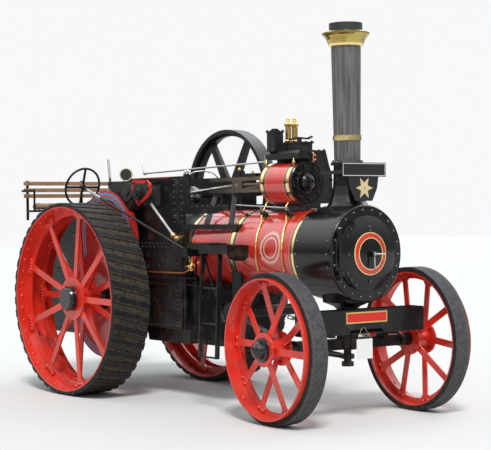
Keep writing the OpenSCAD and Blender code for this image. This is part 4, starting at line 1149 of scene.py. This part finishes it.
class FitBench(bpy.types.Operator):
    """Upholster the bench and bolt its slats"""

    bl_idname = "engine.bench"
    bl_label = "Bench roll and bolts"

    def execute(self, context):
        bolts = [((x, y, z + 22), way) for y, way in ((4500, AHEAD), (4544, BACK))
                 for x in (-706, 0, 706) for z in (2050, 2115, 2190)]
        heads("bench_bolts", bolts, 0.009, 0.005, "black_iron")
        low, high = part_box("seat_roll")
        middle = (low + high) / 2
        radius = (high.z - low.z) / 2
        shape = roll_shape(middle, (high.x - low.x) / 2, radius, settings().cushion_seams)
        roll = keep_shape(shape, "bench_roll", "cushion", "engine", smooth=True)
        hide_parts("seat_roll")
        tie_r = radius * 0.99
        turns = [math.tau * i / 24 for i in range(25)]
        ties = [[Vector((x / 1000, middle.y + math.cos(a) * tie_r, middle.z + max(-0.9, math.sin(a)) * tie_r))
                 for a in turns] for x in (-640, -20, 600)]
        tube("roll_straps", ties, 0.0035, "cushion")
        return {"FINISHED"}


class HangCard(bpy.types.Operator):
    """Hang the blank card from the front box on its bent wire"""

    bl_idname = "engine.card"
    bl_label = "Blank card"

    def execute(self, context):
        size = settings().card_size * 1000
        left, right, top = -35 - size / 2, -35 + size / 2, 728
        card = ((left, -296, top - size), (right, -294, top))
        block("blank_card", [card], "white_card", 0.0006, "front_axle", steered)
        wire = [(left + 22, -292.5, top - 30), (left + 22, -292.5, top + 12), (-62, -289, 822),
                (-30, -289, 830), (right - 40, -290, 770), (right - 22, -292.5, top + 12),
                (right - 22, -292.5, top - 30)]
        tube("card_wire", [[steered(*spot) for spot in wire]], 0.002, "brass", 0.006, "front_axle")
        screw = [(steered(-46, -285, 828), steered_way(0, -1, 0))]
        heads("card_screw", screw, 0.009, 0.008, "black_iron", 6, "front_axle")
        return {"FINISHED"}


class HangChains(bpy.types.Operator):
    """Run the steering chains from the drum to the axle, as baked copies of their meshes"""

    bl_idname = "engine.chains"
    bl_label = "Steering chains"

    def execute(self, context):
        for side, word in SIDES:
            node = "steering_chain_" + word
            mesh = NODES[node].data.copy()
            mesh.name = "steering_links_" + word
            links = linked(bpy.data.objects.new(mesh.name, mesh))
            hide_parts(node)
            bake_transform(links)
        return {"FINISHED"}


# The camera fitted to the photograph: its place, its turns in radians, and its focal length in pixels
CAMERA_AT = (-8.4456, -9.3131, 1.8644)
YAW, PITCH, ROLL = -0.6646, -0.0096, -0.0136
FOCAL_PIXELS = 1392.68
PHOTO_WIDTH = 491
SENSOR_MM = 36


class StageSet(bpy.types.Operator):
    """Add the floor, the lights and the camera"""

    bl_idname = "engine.stage"
    bl_label = "Floor, lights and camera"

    def execute(self, context):
        mesh = bpy.data.meshes.new("floor")
        mesh.from_pydata([(-60, -60, 0), (60, -60, 0), (60, 60, 0), (-60, 60, 0)], [], [(0, 1, 2, 3)])
        pale = Finish("pale_floor").set(Base_Color=(0.74, 0.74, 0.72, 1), Roughness=0.9)
        mesh.materials.append(pale.material)
        floor = linked(bpy.data.objects.new("floor", mesh))
        world = bpy.data.worlds.new("pale_world")
        world.use_nodes = True
        context.scene.world = world
        sky = Nodes(world.node_tree)
        rise = sky.ramp(sky.xyz(sky.node("ShaderNodeTexCoord"))[2], 0.0, 0.6)

        def light(low, high):
            """A sky of one colour at the horizon and another overhead."""
            return sky.node("ShaderNodeBackground", None, {"Color": sky.mix(low, high, rise)})

        plain = sky.node("ShaderNodeBackground", None, {"Color": (0.93, 0.94, 0.95, 1)})
        mirrored = light((0.15, 0.16, 0.155, 1), (1.85, 1.92, 2.0, 1))
        shown = light((0.24, 0.25, 0.25, 1), (0.62, 0.655, 0.69, 1))
        for ray, other in (("Is Glossy Ray", mirrored), ("Is Camera Ray", plain)):
            seen = sky.node("ShaderNodeLightPath", out=ray)
            shown = sky.node("ShaderNodeMixShader", None, {0: seen, 1: shown, 2: other})
        sky.feed(sky.tree.nodes["World Output"].inputs["Surface"], shown)
        for name, way, power, angle in (("key_sun", (-0.55, -0.75, 1.15), 2.3, 14),
                                        ("fill_sun", (0.9, 0.2, 0.7), 0.5, 40)):
            lamp = bpy.data.lights.new(name, "SUN")
            lamp.energy = power
            lamp.angle = math.radians(angle)
            sun = linked(bpy.data.objects.new(name, lamp))
            sun.rotation_euler = Vector(way).to_track_quat("Z", "Y").to_euler()
        lens = bpy.data.cameras.new("camera")
        lens.lens = FOCAL_PIXELS / PHOTO_WIDTH * SENSOR_MM
        lens.clip_end = 400
        camera = linked(bpy.data.objects.new("camera", lens))
        turn = Matrix.Identity(4)
        for angle, axis in ((YAW, "Z"), (math.pi / 2 + PITCH, "X"), (ROLL, "Z")):
            turn = turn @ Matrix.Rotation(angle, 4, axis)
        camera.matrix_world = Matrix.Translation(Vector(CAMERA_AT) + Vector((0, PERCH_Y, 0))) @ turn
        context.scene.camera = camera
        context.scene.view_settings.view_transform = "Standard"
        return {"FINISHED"}


OPERATORS = (StageSet, PaintEngine, RivetPlates, RivetSmokebox, BoltWheels, FitCylinder,
             FitPipes, FitCab, FitBench, HangCard, HangChains)


class EnginePanel(bpy.types.Panel):
    """Lists the steps that dress the engine"""

    bl_idname = "VIEW3D_PT_engine"
    bl_label = "Steam traction engine"
    bl_space_type = "VIEW_3D"
    bl_region_type = "UI"
    bl_category = "Engine"

    def draw(self, context):
        for name in EngineSettings.__annotations__:
            self.layout.prop(context.scene.engine_settings, name)
        for step in OPERATORS:
            self.layout.operator(step.bl_idname)


CLASSES = (EngineSettings, *OPERATORS, EnginePanel)


def register():
    for made in CLASSES:
        bpy.utils.register_class(made)
    bpy.types.Scene.engine_settings = PointerProperty(type=EngineSettings)


def unregister():
    del bpy.types.Scene.engine_settings
    for made in reversed(CLASSES):
        bpy.utils.unregister_class(made)


def main():
    register()
    for step in OPERATORS:
        group, name = step.bl_idname.split(".")
        getattr(getattr(bpy.ops, group), name)()


if __name__ == "__main__":
    main()
